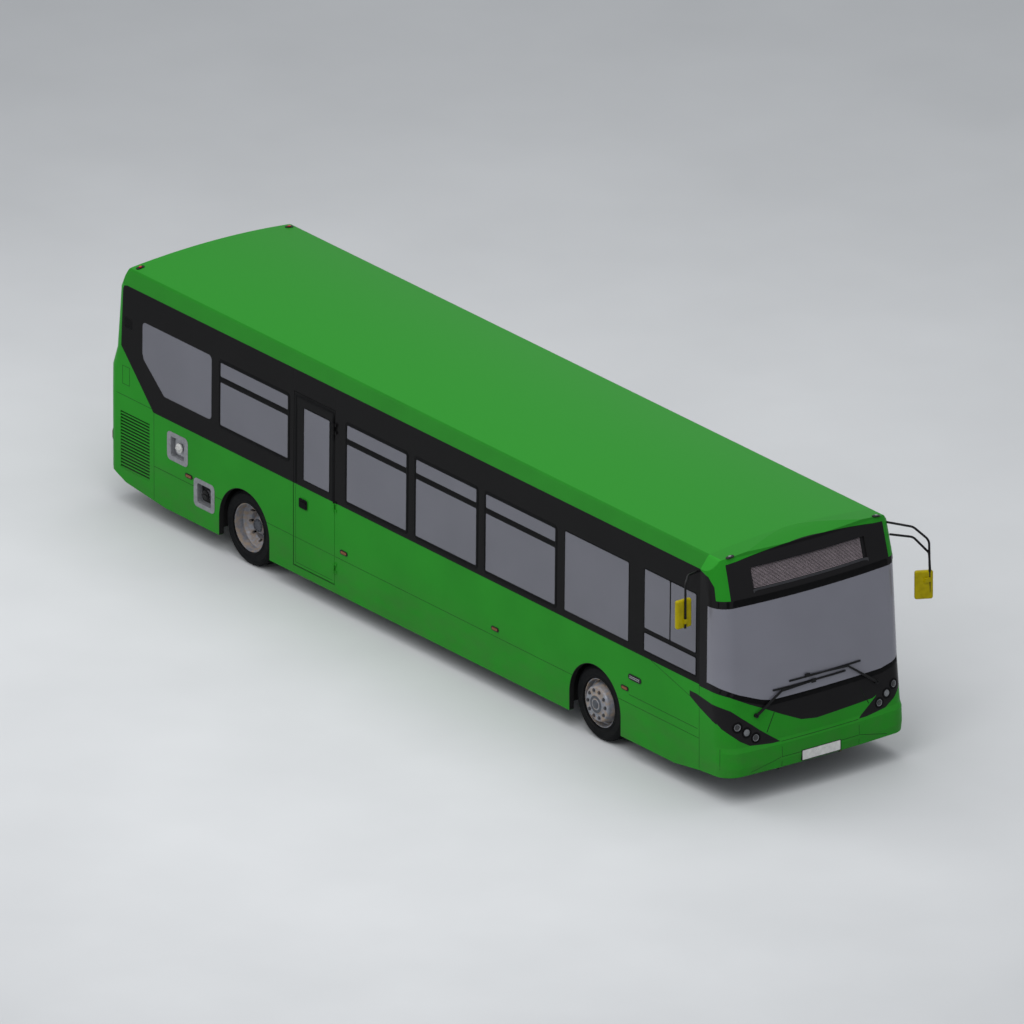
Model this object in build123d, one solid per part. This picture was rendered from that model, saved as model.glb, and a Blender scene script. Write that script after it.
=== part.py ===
from build123d import *
from collections import namedtuple
from math import cos, radians, sin
import os

# Low-floor single-deck city bus, right-hand drive, in millimetres.
# +X points forward, +Y to the nearside (left), +Z up; the origin is on the ground
# below the centre of the body.

# ---------------------------------------------------------------- driving sizes
AXLE_FRONT = 3280
AXLE_REAR = -3180
AXLE_HEIGHT = 442
WALL = 50
GLASS = 10
SKIRT = 223
WAIST = 1296
CANTRAIL = 2655
ROOF_CROWN = 2870
REAR_JOINT = -4860
ROOF_JOINT = 5177
FRONT_JOINT = {"right": 5177, "left": 5300}
SIDE = 1250
LINING = SIDE - WALL
FLOOR = 330
FLOOR_THICK = 40
REAR_FLOOR = 690
ENGINE_DECK = 1050
ARCH_RADIUS = 470
TYRE_RADIUS = 442
RIM_RADIUS = 284
TYRE_OUTER = 1195
TYRE_WIDTH = 275
TWIN_PITCH = 320
SIDES = {"right": -1, "left": 1}

# entrance doorway on the nearside, with two leaves that swing and turn inwards
DOORWAY_REAR = 3960
DOORWAY_FRONT = 5140
DOORWAY_TOP = 2330

# emergency door on the offside, hinged at its front edge
EXIT_REAR = -2263
EXIT_FRONT = -1500
EXIT_BOTTOM = 322
EXIT_TOP = 2390

# ---------------------------------------------------------------- body form
# Plan sections from the skirt to above the roof: height, nose and tail on the
# centre line, half width, and how far the nose bows ahead of its corners.
Section = namedtuple("Section", "height nose tail half_width bow")
SECTIONS = (
    Section(120, 5702, -5712, 1250, 55),
    Section(420, 5750, -5734, 1250, 55),
    Section(600, 5742, -5734, 1250, 55),
    Section(655, 5712, -5734, 1250, 58),
    Section(1110, 5668, -5734, 1250, 70),
    Section(1300, 5658, -5734, 1250, 75),
    Section(1626, 5640, -5734, 1246, 78),
    Section(1858, 5628, -5650, 1244, 80),
    Section(2350, 5602, -5607, 1238, 88),
    Section(2600, 5530, -5585, 1236, 88),
    Section(2930, 5436, -5425, 1232, 88),
)
NOSE_CORNER = 220
TAIL_CORNER = 165
COVE_FOOT = (1236, 2655)
COVE_HEAD = (1124, 2795)
DOME_START = 5060
DOME_FRONT = (5465, 2824)


def plan_section(section, inset):
    half = section.half_width - inset
    nose = section.nose - inset
    tail = section.tail + inset
    corner = nose - section.bow
    sides = Polyline((corner, -half), (tail, -half), (tail, half), (corner, half))
    bow = ThreePointArc((corner, half), (nose, 0), (corner, -half))
    face = make_face(sides + bow)
    face = fillet(face.vertices().filter_by(lambda v: v.X > 0), NOSE_CORNER - inset)
    face = fillet(face.vertices().filter_by(lambda v: v.X < tail + 1), TAIL_CORNER - inset)
    return Pos(0, 0, section.height) * face


def side_prism(points, low, high):
    """Prism on an outline of (x, z) points, from y = low to y = high."""
    face = Plane.XZ * make_face(Polyline(*points, close=True))
    return Pos(0, high, 0) * extrude(face, high - low)


def front_prism(points, low, high):
    """Prism on an outline of (y, z) points, from x = low to x = high."""
    face = Plane.YZ * make_face(Polyline(*points, close=True))
    return Pos(low, 0, 0) * extrude(face, high - low)


def block(x, y, z):
    """Box from three (low, high) pairs."""
    size = [high - low for low, high in (x, y, z)]
    centre = [(high + low) / 2 for low, high in (x, y, z)]
    return Pos(*centre) * Box(*size)


def post(x, y, z, radius, height):
    """Upright cylinder on the point (x, y, z)."""
    return Pos(x, y, z) * Cylinder(radius, height, align=(Align.CENTER, Align.CENTER, Align.MIN))


def mirrored(shape):
    return mirror(shape, Plane.XZ)


def sided(side, low, high):
    """The (low, high) pair on the given side, from distances off the centre line."""
    return (low, high) if SIDES[side] > 0 else (-high, -low)


def roof_section(inset):
    foot = (COVE_FOOT[0] - inset, COVE_FOOT[1] - inset / 2)
    head = (COVE_HEAD[0] - inset / 2, COVE_HEAD[1] - inset)
    crown = (0, ROOF_CROWN - inset)
    edge = Polyline(
        (-head[0], head[1]), (-foot[0], foot[1]), (-1400, foot[1]),
        (-1400, 100), (1400, 100), (1400, foot[1]), foot, head,
    )
    face = make_face(edge + ThreePointArc(head, crown, (-head[0], head[1])))
    heads = face.vertices().filter_by(lambda v: v.Y > head[1] - 1)
    face = fillet(heads, 60)
    return Pos(-6000, 0, 0) * extrude(Plane.YZ * face, 12000)


def dome_section(inset):
    top = ROOF_CROWN + 2 - inset
    front = (DOME_FRONT[0] - inset, DOME_FRONT[1] - inset)
    middle = (DOME_START + 0.53 * (front[0] - DOME_START), top - 12)
    edge = Polyline(
        front, (5800, front[1] - 140), (5800, 100), (-5800, 100), (-5800, top), (DOME_START, top)
    )
    face = make_face(edge + ThreePointArc((DOME_START, top), middle, front))
    return Pos(0, 1500, 0) * extrude(Plane.XZ * face, 3000)


def body_form(inset):
    form = loft([plan_section(section, inset) for section in SECTIONS], ruled=True)
    return form & roof_section(inset) & dome_section(inset)


# the lower edge of the skirt rises under both overhangs
UNDERCUT = side_prism(
    (
        (-6000, 50), (6000, 50), (6000, 325), (5750, 325), (5186, 285), (4727, SKIRT),
        (-4648, SKIRT), (-5384, 297), (-5600, 376), (-6000, 376),
    ),
    -1500, 1500,
)
OUTER = body_form(0) - UNDERCUT
INNER = body_form(WALL)
SHELL = OUTER - INNER
SKIN = OUTER - body_form(GLASS)
LAMP_SKIN = OUTER - body_form(25)

NODES = {}

# ---------------------------------------------------------------- side windows
# rear edge, front edge, bottom, top, and the bar that divides a sliding vent
Window = namedtuple("Window", "rear front bottom top bar")
WINDOWS = {
    "right": (
        Window(-3624, -2378, 1549, 2287, 2090),
        Window(-1279, -190, 1387, 2287, 2096),
        Window(-7, 1096, 1387, 2287, 2096),
        Window(1276, 2539, 1387, 2287, 2096),
        Window(2723, 3881, 1387, 2314, None),
    ),
    "left": (
        Window(-3624, -2378, 1549, 2287, 2090),
        Window(-2210, -1460, 1387, 2287, 2096),
        Window(-1279, -190, 1387, 2287, 2096),
        Window(-7, 1096, 1387, 2287, 2096),
        Window(1276, 2539, 1387, 2287, 2096),
        Window(2723, 3781, 1387, 2314, None),
    ),
}
BAR = 71
# rear end of the black window band, from its rounded top corner down to the waist
BAND_TAIL = ((-5370, CANTRAIL), (-5425, 2640), (-5452, 2595), (-5476, 1912), (-4869, WAIST))
PANE_CORNER = 15
QUARTER_CORNER = 55
CAB_CORNER = 14
QUARTER_PANE = ((-3793, 1549), (-3793, 2314), (-5080, 2314), (-5080, 1940), (-5053, 1869), (-4670, 1549))
DRIVER_PANES = (
    (4175, 5103, 1382, 1584),
    (4175, 4628, 1644, 2334),
    (4648, 5103, 1644, 2334),
)


def side_outline(points, radius):
    face = make_face(Polyline(*points, close=True))
    return fillet(face.vertices(), radius)


def side_pane(x0, x1, z0, z1, radius=PANE_CORNER):
    return side_outline(((x0, z0), (x1, z0), (x1, z1), (x0, z1)), radius)


def pane_cutters(side):
    outlines = [side_outline(QUARTER_PANE, QUARTER_CORNER)]
    for window in WINDOWS[side]:
        if window.bar is None:
            outlines.append(side_pane(*window[:4]))
            continue
        for bottom, top in ((window.bottom, window.bar - BAR / 2), (window.bar + BAR / 2, window.top)):
            outlines.append(side_pane(window.rear, window.front, bottom, top))
    if side == "right":
        outlines += [side_pane(*pane, radius=CAB_CORNER) for pane in DRIVER_PANES]
    low, high = sided(side, 1100, 1300)
    return [Pos(0, high, 0) * extrude(Plane.XZ * outline, high - low) for outline in outlines]


# ---------------------------------------------------------------- front outlines
# (y, z) outlines on the nose: the black valance under the windscreen rises to the
# offside, and the glass comes down further on the nearside
VALANCE_FOOT = (
    (-1300, 1297), (-1138, 1240), (-890, 1113), (-700, 1026), (-508, 929),
    (-238, 806), (-33, 776), (384, 793), (760, 806), (900, 860), (1138, 1030), (1300, 1110),
)
GLASS_FOOT = (
    (-1300, 1400), (-1215, 1342), (-1016, 1247), (-762, 1148), (-620, 1112),
    (904, 1112), (1070, 1143), (1160, 1172), (1300, 1190),
)
GLASS_TOP = 2261
DISPLAY_FOOT = 2350
SCREEN_EDGE = 5311
DISPLAY = (
    (-1085, DISPLAY_FOOT), (1085, DISPLAY_FOOT), (1078, 2740), (560, 2792), (-560, 2792), (-1078, 2740),
)
DISPLAY_RECESS = ((-781, 2398), (781, 2398), (781, 2655), (-781, 2655))
CORNER_CAP = ((5150, CANTRAIL), (5310, 2600), (5390, 2500), (5425, DISPLAY_FOOT), (6000, DISPLAY_FOOT),
              (6000, 3000), (5150, 3000))

# lamp cluster: a swoosh from the side round the corner of the nose
CLUSTER_FRONT = (
    (1300, 950), (1246, 935), (1219, 874), (1171, 826), (1060, 729), (934, 655), (785, 640), (650, 628),
    (540, 628), (700, 740), (790, 805), (895, 891), (1016, 985), (1138, 1085), (1246, 1135), (1300, 1140),
)
CLUSTER_SIDE = {
    "right": ((5002, 1107), (5002, 1172), (5131, 1172), (5480, 1126), (5480, 915), (5370, 955), (5186, 1022)),
    "left": ((5310, 975), (5310, 1149), (5480, 1126), (5480, 915), (5370, 955)),
}
CLUSTER_CORNER = 5400
LAMPS = ((851, 730), (964, 811), (1076, 890))
LAMP_BORE = 46
LAMP_LENS = 38


def cluster_region(side):
    sign = SIDES[side]
    front = front_prism([(sign * y, z) for y, z in CLUSTER_FRONT], CLUSTER_CORNER, 5800)
    low, high = sided(side, 1180, 1300)
    return front + side_prism(CLUSTER_SIDE[side], low, high)


def body_panels():
    clusters = {side: cluster_region(side) for side in SIDES}
    bands = {}
    frames = []
    panels = []
    band_parts = []
    panes = []
    for side in SIDES:
        low, high = sided(side, 1120, 1300)
        front_end = FRONT_JOINT[side]
        band_outline = ((front_end, WAIST), (front_end, CANTRAIL)) + BAND_TAIL
        band = SHELL & side_prism(band_outline, low, high)
        lower = SHELL & block((REAR_JOINT, front_end), (low, high), (SKIRT - 1, WAIST))
        for axle in (AXLE_FRONT, AXLE_REAR):
            lower -= arch_shape(axle, ARCH_RADIUS, low, high)
        bands[side] = band_outline
        if side == "right":
            gap = (EXIT_REAR, EXIT_FRONT)
            frame_bottom, frame_top = EXIT_BOTTOM, EXIT_TOP
        else:
            gap = (DOORWAY_REAR, DOORWAY_FRONT)
            frame_bottom, frame_top = FLOOR, DOORWAY_TOP
        slot = block(gap, (low, high), (0, 3000))
        frame = (lower + band) & slot
        frames.append(frame - block(gap, (low, high), (frame_bottom, frame_top)))
        band -= slot
        lower -= slot
        for cutter in pane_cutters(side):
            band -= cutter
        if side == "right":
            lower -= clusters["right"]
            for pocket in FILLERS:
                lower -= filler_opening(pocket, low, high)
        panels += lower.solids()
        band_parts += band.solids()
        panes += [SKIN & cutter for cutter in pane_cutters(side)]
    NODES["side_panels"] = Compound(panels)
    NODES["window_bands"] = Compound(band_parts)
    NODES["door_frames"] = Compound([solid for frame in frames for solid in frame.solids()])

    roof = SHELL & block((-6000, ROOF_JOINT), (-1400, 1400), (CANTRAIL, 3000))
    NODES["roof_shell"] = roof

    rear = SHELL & block((-6000, REAR_JOINT), (-1400, 1400), (0, CANTRAIL))
    for side in SIDES:
        low, high = sided(side, 1120, 1300)
        rear -= side_prism(bands[side], low, high)
    rear -= front_prism(REAR_WINDOW, -6000, -5450)
    rear -= front_prism(LID, -6000, -5600)
    rear -= louvre_opening()
    for side in SIDES:
        rear -= LAMP_SKIN & tail_lamp_region(side)
    NODES["rear_panel"] = rear
    panes.append(SKIN & front_prism(REAR_WINDOW, -6000, -5450))
    NODES["glazing"] = Compound(panes)
    NODES["tail_lamps"] = Compound([LAMP_SKIN & tail_lamp_region(side) for side in SIDES])

    nose = SHELL & (
        block((FRONT_JOINT["right"], 6000), (-1400, 0), (0, 3000))
        + block((FRONT_JOINT["left"], 6000), (0, 1400), (0, CANTRAIL))
        + block((ROOF_JOINT, 6000), (0, 1400), (CANTRAIL, 3000))
    )
    cap = side_prism(CORNER_CAP, -1500, 1500)
    dome = nose & block((5000, 6000), (-1500, 1500), (DISPLAY_FOOT, 3000)) & cap
    dome -= roof
    display = dome & front_prism(DISPLAY, 5400, 6000)
    NODES["front_dome"] = dome - display
    NODES["destination_display"] = display - (
        (OUTER - body_form(18)) & front_prism(DISPLAY_RECESS, 5400, 6000)
    )
    below = front_prism(VALANCE_FOOT + ((1400, 0), (-1400, 0)), 5000, 6000)
    lower_nose = nose & below
    surround = nose - below - cap - roof
    for side in SIDES:
        surround -= clusters[side]
    screen = front_prism(GLASS_FOOT + ((1300, GLASS_TOP), (-1300, GLASS_TOP)), SCREEN_EDGE, 6000)
    NODES["windscreen_surround"] = surround - screen
    NODES["windscreen"] = SKIN & screen
    for side in SIDES:
        lower_nose -= clusters[side]
    NODES["front_panel"] = lower_nose
    cluster_parts = []
    for side in SIDES:
        cluster = LAMP_SKIN & clusters[side]
        cluster -= front_prism(((-1500, 0), (1500, 0), (1500, 3000), (-1500, 3000)), 4000, 5001)
        for y, z in LAMPS:
            cluster -= Pos(5500, SIDES[side] * y, z) * Rot(0, 90, 0) * Cylinder(LAMP_BORE, 600)
        cluster_parts.append(cluster)
    NODES["lamp_clusters"] = Compound(cluster_parts)


# ---------------------------------------------------------------- offside fittings
Filler = namedtuple("Filler", "x z width height")
FILLERS = (Filler(-4418, 1007, 386, 340), Filler(-3922, 606, 386, 340))
FILLER_RIM = 45
FILLER_CORNER = 60
BOWL_CORNER = 25
POCKET_BACK = 1190
LOUVRE = ((-5494, -4933), (441, 1144))
LOUVRE_COUNT = 18
LOUVRE_BORDER = 9
LOUVRE_DEPTH = 22
SLAT = 5


def filler_opening(pocket, low, high, corner=FILLER_CORNER):
    outline = side_pane(
        pocket.x - pocket.width / 2, pocket.x + pocket.width / 2,
        pocket.z - pocket.height / 2, pocket.z + pocket.height / 2, corner,
    )
    return Pos(0, high, 0) * extrude(Plane.XZ * outline, high - low)


def filler_pockets():
    pockets = []
    for pocket in FILLERS:
        rim = filler_opening(pocket, -SIDE - 4, -LINING)
        small = Filler(
            pocket.x, pocket.z, pocket.width - 3 * FILLER_RIM, pocket.height - 2.4 * FILLER_RIM
        )
        bowl = filler_opening(small, -SIDE - 10, -POCKET_BACK, BOWL_CORNER)
        wall = Filler(small.x, small.z, small.width + 12, small.height + 12)
        shell = filler_opening(wall, -LINING, -POCKET_BACK + 6, BOWL_CORNER + 6)
        cap = Pos(pocket.x, -POCKET_BACK, pocket.z) * Rot(90, 0, 0) * Cylinder(
            48, 30, align=(Align.CENTER, Align.CENTER, Align.MIN)
        )
        pockets.append(rim + shell - bowl + cap)
    return Compound(pockets)


def louvre_opening():
    (x0, x1), (z0, z1) = LOUVRE
    return block((x0, x1), (-1300, -1150), (z0, z1))


def louvre_panel():
    """Frame with slats that lean outwards and down, open between them."""
    (x0, x1), (z0, z1) = LOUVRE
    inner = (z0 + LOUVRE_BORDER, z1 - LOUVRE_BORDER)
    frame = block((x0, x1), (-SIDE, -SIDE + LOUVRE_DEPTH), (z0, z1))
    frame -= block((x0 + LOUVRE_BORDER, x1 - LOUVRE_BORDER), (-1300, -LINING + SLAT), inner)
    pitch = (inner[1] - inner[0]) / LOUVRE_COUNT
    front = -SIDE + 1
    back = -SIDE + LOUVRE_DEPTH - 1
    for row in range(LOUVRE_COUNT):
        foot = inner[0] + 4 + row * pitch
        head = foot + 0.62 * pitch
        slat = make_face(
            Polyline((front, foot), (front, foot + SLAT), (back, head), (back, head - SLAT), close=True)
        )
        width = x1 - x0 - 2 * LOUVRE_BORDER + 2
        frame += Pos(x0 + LOUVRE_BORDER - 1, 0, 0) * extrude(Plane.YZ * slat, width)
    return frame


# ---------------------------------------------------------------- tail
REAR_WINDOW = ((-930, 1960), (930, 1960), (980, 2440), (900, 2500), (-900, 2500), (-980, 2440))
LID = ((-930, 620), (930, 620), (930, 1570), (-930, 1570))
LID_GAP = 7
LID_AXIS = (-5743, 1567)
LID_BARREL = 7
LID_HINGES = (-600, 0, 600)
TAIL_LAMP = ((1070, 560), (1196, 560), (1196, 1010), (1070, 1010))
LID_GRILLE = (10, 60, 700, 1010)


def tail_lamp_region(side):
    return front_prism([(SIDES[side] * y, z) for y, z in TAIL_LAMP], -6000, -5580)


def engine_lid():
    g = LID_GAP
    (y0, z0), (y1, z1) = LID[0], LID[2]
    outline = ((y0 + g, z0 + g), (y1 - g, z0 + g), (y1 - g, z1 - g), (y0 + g, z1 - g))
    lid = SHELL & front_prism(outline, -6000, -5600)
    count, height, low, high = LID_GRILLE
    pitch = (high - low) / count
    for row in range(count):
        z = low + row * pitch
        lid -= block((-6000, -5600), (-640, -20), (z, z + pitch * 0.55))
        lid -= block((-6000, -5600), (20, 640), (z, z + pitch * 0.55))
    for y in LID_HINGES:
        knuckle = Pos(LID_AXIS[0], y, LID_AXIS[1]) * Rot(90, 0, 0) * Cylinder(LID_BARREL, 90)
        strap = block((-5746, -5733), (y - 40, y + 40), (z1 - g - 60, LID_AXIS[1]))
        lid += knuckle + strap
    return lid


def lid_hinges():
    hinges = []
    for y in LID_HINGES:
        for centre in (y - 66, y + 66):
            barrel = Pos(LID_AXIS[0], centre, LID_AXIS[1]) * Rot(90, 0, 0) * Cylinder(LID_BARREL, 40)
            strap = block((-5746, -5734), (centre - 20, centre + 20), (LID_AXIS[1], 1620))
            hinges.append(barrel + strap)
    return hinges


# ---------------------------------------------------------------- emergency door
EXIT_GAP = 7
EXIT_AXIS = (-1503, -1263)
EXIT_PANE = (-2075, -1606, 1388, 2234)
EXIT_HINGES = (520, 1250, 2180)


def emergency_door():
    leaf = SHELL & block(
        (EXIT_REAR + EXIT_GAP, EXIT_FRONT - EXIT_GAP), (-1300, -1150),
        (EXIT_BOTTOM + EXIT_GAP, EXIT_TOP - EXIT_GAP),
    )
    opening = Pos(0, -1100, 0) * extrude(Plane.XZ * side_pane(*EXIT_PANE), 200)
    NODES["emergency_door_glass"] = SKIN & opening
    leaf -= opening
    x, y = EXIT_AXIS
    for z in EXIT_HINGES:
        leaf += Pos(x, y, z) * Cylinder(9, 60)
        leaf += block((x - 45, x - 3), (-SIDE - 8, -SIDE + 16), (z - 28, z + 28))
        leaf += block((x - 12, x), (y - 4, -SIDE - 1), (z - 28, z + 28))
    leaf += block((-2148, -2001), (-SIDE - 8, -SIDE + 5), (1044, 1157))
    NODES["emergency_door"] = leaf
    barrels = []
    for z in EXIT_HINGES:
        for sign in (-1, 1):
            barrel = Pos(x, y, z + sign * 46) * Cylinder(9, 30)
            strap = block((x + 3, x + 40), (-SIDE - 8, -SIDE), (z + sign * 46 - 15, z + sign * 46 + 15))
            link = block((x, x + 12), (y - 4, -SIDE - 4), (z + sign * 46 - 15, z + sign * 46 + 15))
            barrels.append(barrel + strap + link)
    return barrels


# ---------------------------------------------------------------- entrance doors
LEAF_GAP = 12
LEAF_MEET = 10
LEAF_THICK = 32
LEAF_OUTER = 1238
LEAF_WIDTH = (DOORWAY_FRONT - DOORWAY_REAR - 2 * LEAF_GAP - LEAF_MEET) / 2
LEAF_BOTTOM = 358
LEAF_TOP = 2290
PIVOT_OFFSET = 47
PIVOT_Y = LEAF_OUTER - LEAF_THICK / 2 - PIVOT_OFFSET
ARM_REACH = LEAF_WIDTH / 2 + 25
POST_INSET = LEAF_GAP + LEAF_WIDTH / 2 - ARM_REACH
POST_RADIUS = 12
POST_FOOT = 334
POST_HEAD = 2320
PIN_RADIUS = 8


def entrance_door(name, jamb, way):
    """One leaf with its pane and its arm; way is +1 where the leaf lies ahead of its jamb."""
    hub = jamb + way * POST_INSET
    pivot = hub + way * ARM_REACH
    near = jamb + way * LEAF_GAP
    far = near + way * LEAF_WIDTH
    x0, x1 = min(near, far), max(near, far)
    leaf = block((x0, x1), (LEAF_OUTER - LEAF_THICK, LEAF_OUTER), (LEAF_BOTTOM, LEAF_TOP))
    outline = side_pane(x0 + 55, x1 - 55, 470, 2235, 60)
    opening = Pos(0, 1300, 0) * extrude(Plane.XZ * outline, 200)
    glass = opening & block((x0, x1), (LEAF_OUTER - 10, LEAF_OUTER - 2), (LEAF_BOTTOM, LEAF_TOP))
    leaf -= opening
    pin = Cylinder(PIN_RADIUS, 18, align=(Align.CENTER, Align.CENTER, Align.MIN))
    for z, start in ((LEAF_TOP - 8, LEAF_TOP), (LEAF_BOTTOM, LEAF_BOTTOM - 18)):
        leaf += block((pivot - 24, pivot + 24), (PIVOT_Y - 14, LEAF_OUTER - LEAF_THICK + 2), (z, z + 8))
        leaf += Pos(pivot, PIVOT_Y, start) * pin
    arm = post(hub, PIVOT_Y, POST_FOOT, POST_RADIUS, POST_HEAD - POST_FOOT)
    bored = Cylinder(PIN_RADIUS + 0.05, 40)
    for z in (LEAF_TOP + 11, LEAF_BOTTOM - 13):
        bar = block(
            (min(hub, pivot), max(hub, pivot)), (PIVOT_Y - 11, PIVOT_Y + 11), (z - 5, z + 5)
        )
        bar += Pos(pivot, PIVOT_Y, z) * Cylinder(18, 10)
        arm += bar - Pos(pivot, PIVOT_Y, z) * bored
    NODES[f"entrance_leaf_{name}"] = leaf
    NODES[f"entrance_glass_{name}"] = glass
    NODES[f"entrance_arm_{name}"] = arm


# ---------------------------------------------------------------- outside fittings
def strip(outline, near, far, x0=5200):
    """A piece that follows the nose, between two distances outside its skin."""
    return (body_form(-far) - body_form(-near)) & front_prism(outline, x0, 6100)


# each wiper as (y, z) points on the nose: pivot, elbow and end of the arm, then the
# blade's two ends and its height
Wiper = namedtuple("Wiper", "pivot elbow end blade height")
WIPERS = (
    Wiper((-835, 983), (-496, 1196), (-57, 1217), (-597, 390), 1219),
    Wiper((824, 983), (420, 1270), (-140, 1297), (-376, 607), 1280),
)
PIVOT_BOSS = 24


def bar_outline(start, end, start_width, end_width):
    """Outline of a tapering bar between two (y, z) points."""
    along = Vector(end[0] - start[0], end[1] - start[1]).normalized()
    across = Vector(-along.Y, along.X)
    first = Vector(*start)
    last = Vector(*end)
    corners = (
        first + across * start_width, last + across * end_width,
        last - across * end_width, first - across * start_width,
    )
    return [(corner.X, corner.Y) for corner in corners]


def wipers():
    sets = []
    for wiper in WIPERS:
        low, high = wiper.blade
        blade = strip(bar_outline((low, wiper.height), (high, wiper.height), 9, 9), 4, 16)
        arm = strip(bar_outline(wiper.pivot, wiper.elbow, 15, 11), 16, 28)
        arm += strip(bar_outline(wiper.elbow, wiper.end, 11, 6), 16, 26)
        y, z = wiper.end
        arm += strip(bar_outline((y - 30, z), (y + 30, z), 22, 22), 14, 24)
        boss = Pos(5680, *wiper.pivot) * Rot(0, 90, 0) * Cylinder(PIVOT_BOSS, 120)
        boss &= body_form(-30)
        boss -= OUTER
        sets.append(blade + arm + boss)
    return Compound(sets)


def tube(points, radii, radius):
    path = FilletPolyline(*points, radius=radii)
    return sweep(Plane(origin=path @ 0, z_dir=path % 0) * Circle(radius), path=path)


MIRROR_TUBE = 13
MIRROR_HEAD = (60, 207, 336)
MIRROR_CORNER = 26
# arms as points with the bend radii between them; the last stretch hangs upright ahead
# of the head and carries it
NEAR_ARMS = (
    (((5370, 1175, 2690), (5560, 1400, 2640), (5660, 1545, 2480), (5660, 1560, 1860)), (120, 120)),
    (((5420, 1180, 2560), (5560, 1400, 2520), (5660, 1545, 2330), (5660, 1560, 2120)), (100, 60)),
)
OFF_ARMS = ((((5110, -1225, 2605), (5170, -1400, 2620), (5252, -1500, 2560), (5252, -1500, 2045)), (60, 40)),)
# heads: centre, turn towards the driver, and height of the clamp over the centre
Mirror = namedtuple("Mirror", "x y z turn clamp arms")
MIRRORS = (
    Mirror(5613, 1508, 1949, -28, 66, NEAR_ARMS),
    Mirror(5212, -1500, 2207, 0, -80, OFF_ARMS),
)


def mirrors():
    arms = []
    heads = []
    for mirror_set in MIRRORS:
        pieces = [tube(points, radii, MIRROR_TUBE) for points, radii in mirror_set.arms]
        stem = pieces[0]
        for piece in pieces[1:]:
            stem += piece
        x, y, _ = mirror_set.arms[0][0][-1]
        place = Pos(x - 22, (y + mirror_set.y) / 2, mirror_set.z + mirror_set.clamp)
        clamp = place * Box(74, abs(y - mirror_set.y) + 44, 52)
        head = Box(*MIRROR_HEAD)
        head = fillet(head.edges(), MIRROR_CORNER)
        head = Pos(mirror_set.x, mirror_set.y, mirror_set.z) * Rot(0, 0, mirror_set.turn) * head
        arms.append(stem - OUTER)
        heads.append(head + clamp - stem)
    NODES["mirror_arms"] = Compound(arms)
    NODES["mirror_heads"] = Compound(heads)


# ---------------------------------------------------------------- floor and cabin
BOX_SHEET = 8
FRONT_BOX = 525
REAR_BOX = 500
FRONT_BOX_INNER = 450
REAR_BOX_INNER = 575
BOX_TOP = 968
LIP = 7
LIP_PLATE = 10
LIP_FOOT = 230


def wheel_box(axle, half, inner, side):
    low, high = sided(side, inner, LINING - 1)
    length = (axle - half - BOX_SHEET, axle + half + BOX_SHEET)
    box = block(length, (low, high), (FLOOR - FLOOR_THICK, BOX_TOP))
    y_in, y_out = sided(side, inner + BOX_SHEET, LINING + 20)
    box -= block((axle - half, axle + half), (y_in, y_out), (0, BOX_TOP - BOX_SHEET))
    if axle == AXLE_REAR:
        box -= block((axle - 170, axle + 170), sided(side, 500, 700), (0, 640))
    return box + arch_lip(axle, half, side)


def arch_shape(axle, radius, low, high):
    """Solid the shape of an arch: a cylinder over a block that reaches the ground."""
    dome = Pos(axle, high, AXLE_HEIGHT) * Rot(90, 0, 0) * Cylinder(
        radius, high - low, align=(Align.CENTER, Align.CENTER, Align.MIN)
    )
    return dome + block((axle - radius, axle + radius), (low, high), (0, AXLE_HEIGHT))


def arch_lip(axle, half, side):
    """Plate that closes a wheel box against the side, with a lip round the arch."""
    low, high = sided(side, LINING - LIP_PLATE, LINING - 1)
    length = (axle - half - BOX_SHEET, axle + half + BOX_SHEET)
    plate = block(length, (low, high), (FLOOR - FLOOR_THICK, BOX_TOP))
    low, high = sided(side, LINING - LIP_PLATE, SIDE)
    lip = arch_shape(axle, ARCH_RADIUS, low, high)
    lip -= block((axle - ARCH_RADIUS, axle + ARCH_RADIUS), (low, high), (-ARCH_RADIUS, LIP_FOOT))
    low, high = sided(side, 1000, 1300)
    return plate + lip - arch_shape(axle, ARCH_RADIUS - LIP, low, high)


def floors():
    boxes = []
    notches = []
    for side in SIDES:
        for axle, half, inner in (
            (AXLE_FRONT, FRONT_BOX, FRONT_BOX_INNER), (AXLE_REAR, REAR_BOX, REAR_BOX_INNER)
        ):
            boxes.append(wheel_box(axle, half, inner, side))
            length = (axle - half - BOX_SHEET, axle + half + BOX_SHEET)
            notches.append(block(length, sided(side, inner, 1300), (0, BOX_TOP)))
    NODES["wheel_boxes"] = Compound(boxes)
    inside = body_form(WALL + 1)
    low = inside & block((-2350, 5400), (-1300, 1300), (FLOOR - FLOOR_THICK, FLOOR))
    rear = block((-2390, -2350), (-1199, 1199), (FLOOR - FLOOR_THICK, REAR_FLOOR))
    rear += block((-4450, -2350), (-1199, 1199), (REAR_FLOOR - FLOOR_THICK, REAR_FLOOR))
    rear += block((-4450, -4410), (-1199, 1199), (REAR_FLOOR - FLOOR_THICK, ENGINE_DECK))
    rear += block((-5560, -4410), (-1199, 1199), (ENGINE_DECK - FLOOR_THICK, ENGINE_DECK))
    rear += block((-2390, -2080), (-330, 330), (FLOOR, (FLOOR + REAR_FLOOR) / 2))
    rear &= inside
    for notch in notches:
        low -= notch
        rear -= notch
    for pocket in FILLERS:
        rear -= block(
            (pocket.x - pocket.width / 2, pocket.x + pocket.width / 2), (-1300, -POCKET_BACK + 8),
            (pocket.z - pocket.height / 2, pocket.z + pocket.height / 2),
        )
    NODES["low_floor"] = low
    NODES["rear_floor"] = rear


RAIL_LINE = 300
RAIL_RADIUS = 16
DRIVER_SEAT = (4180, -740)
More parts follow.
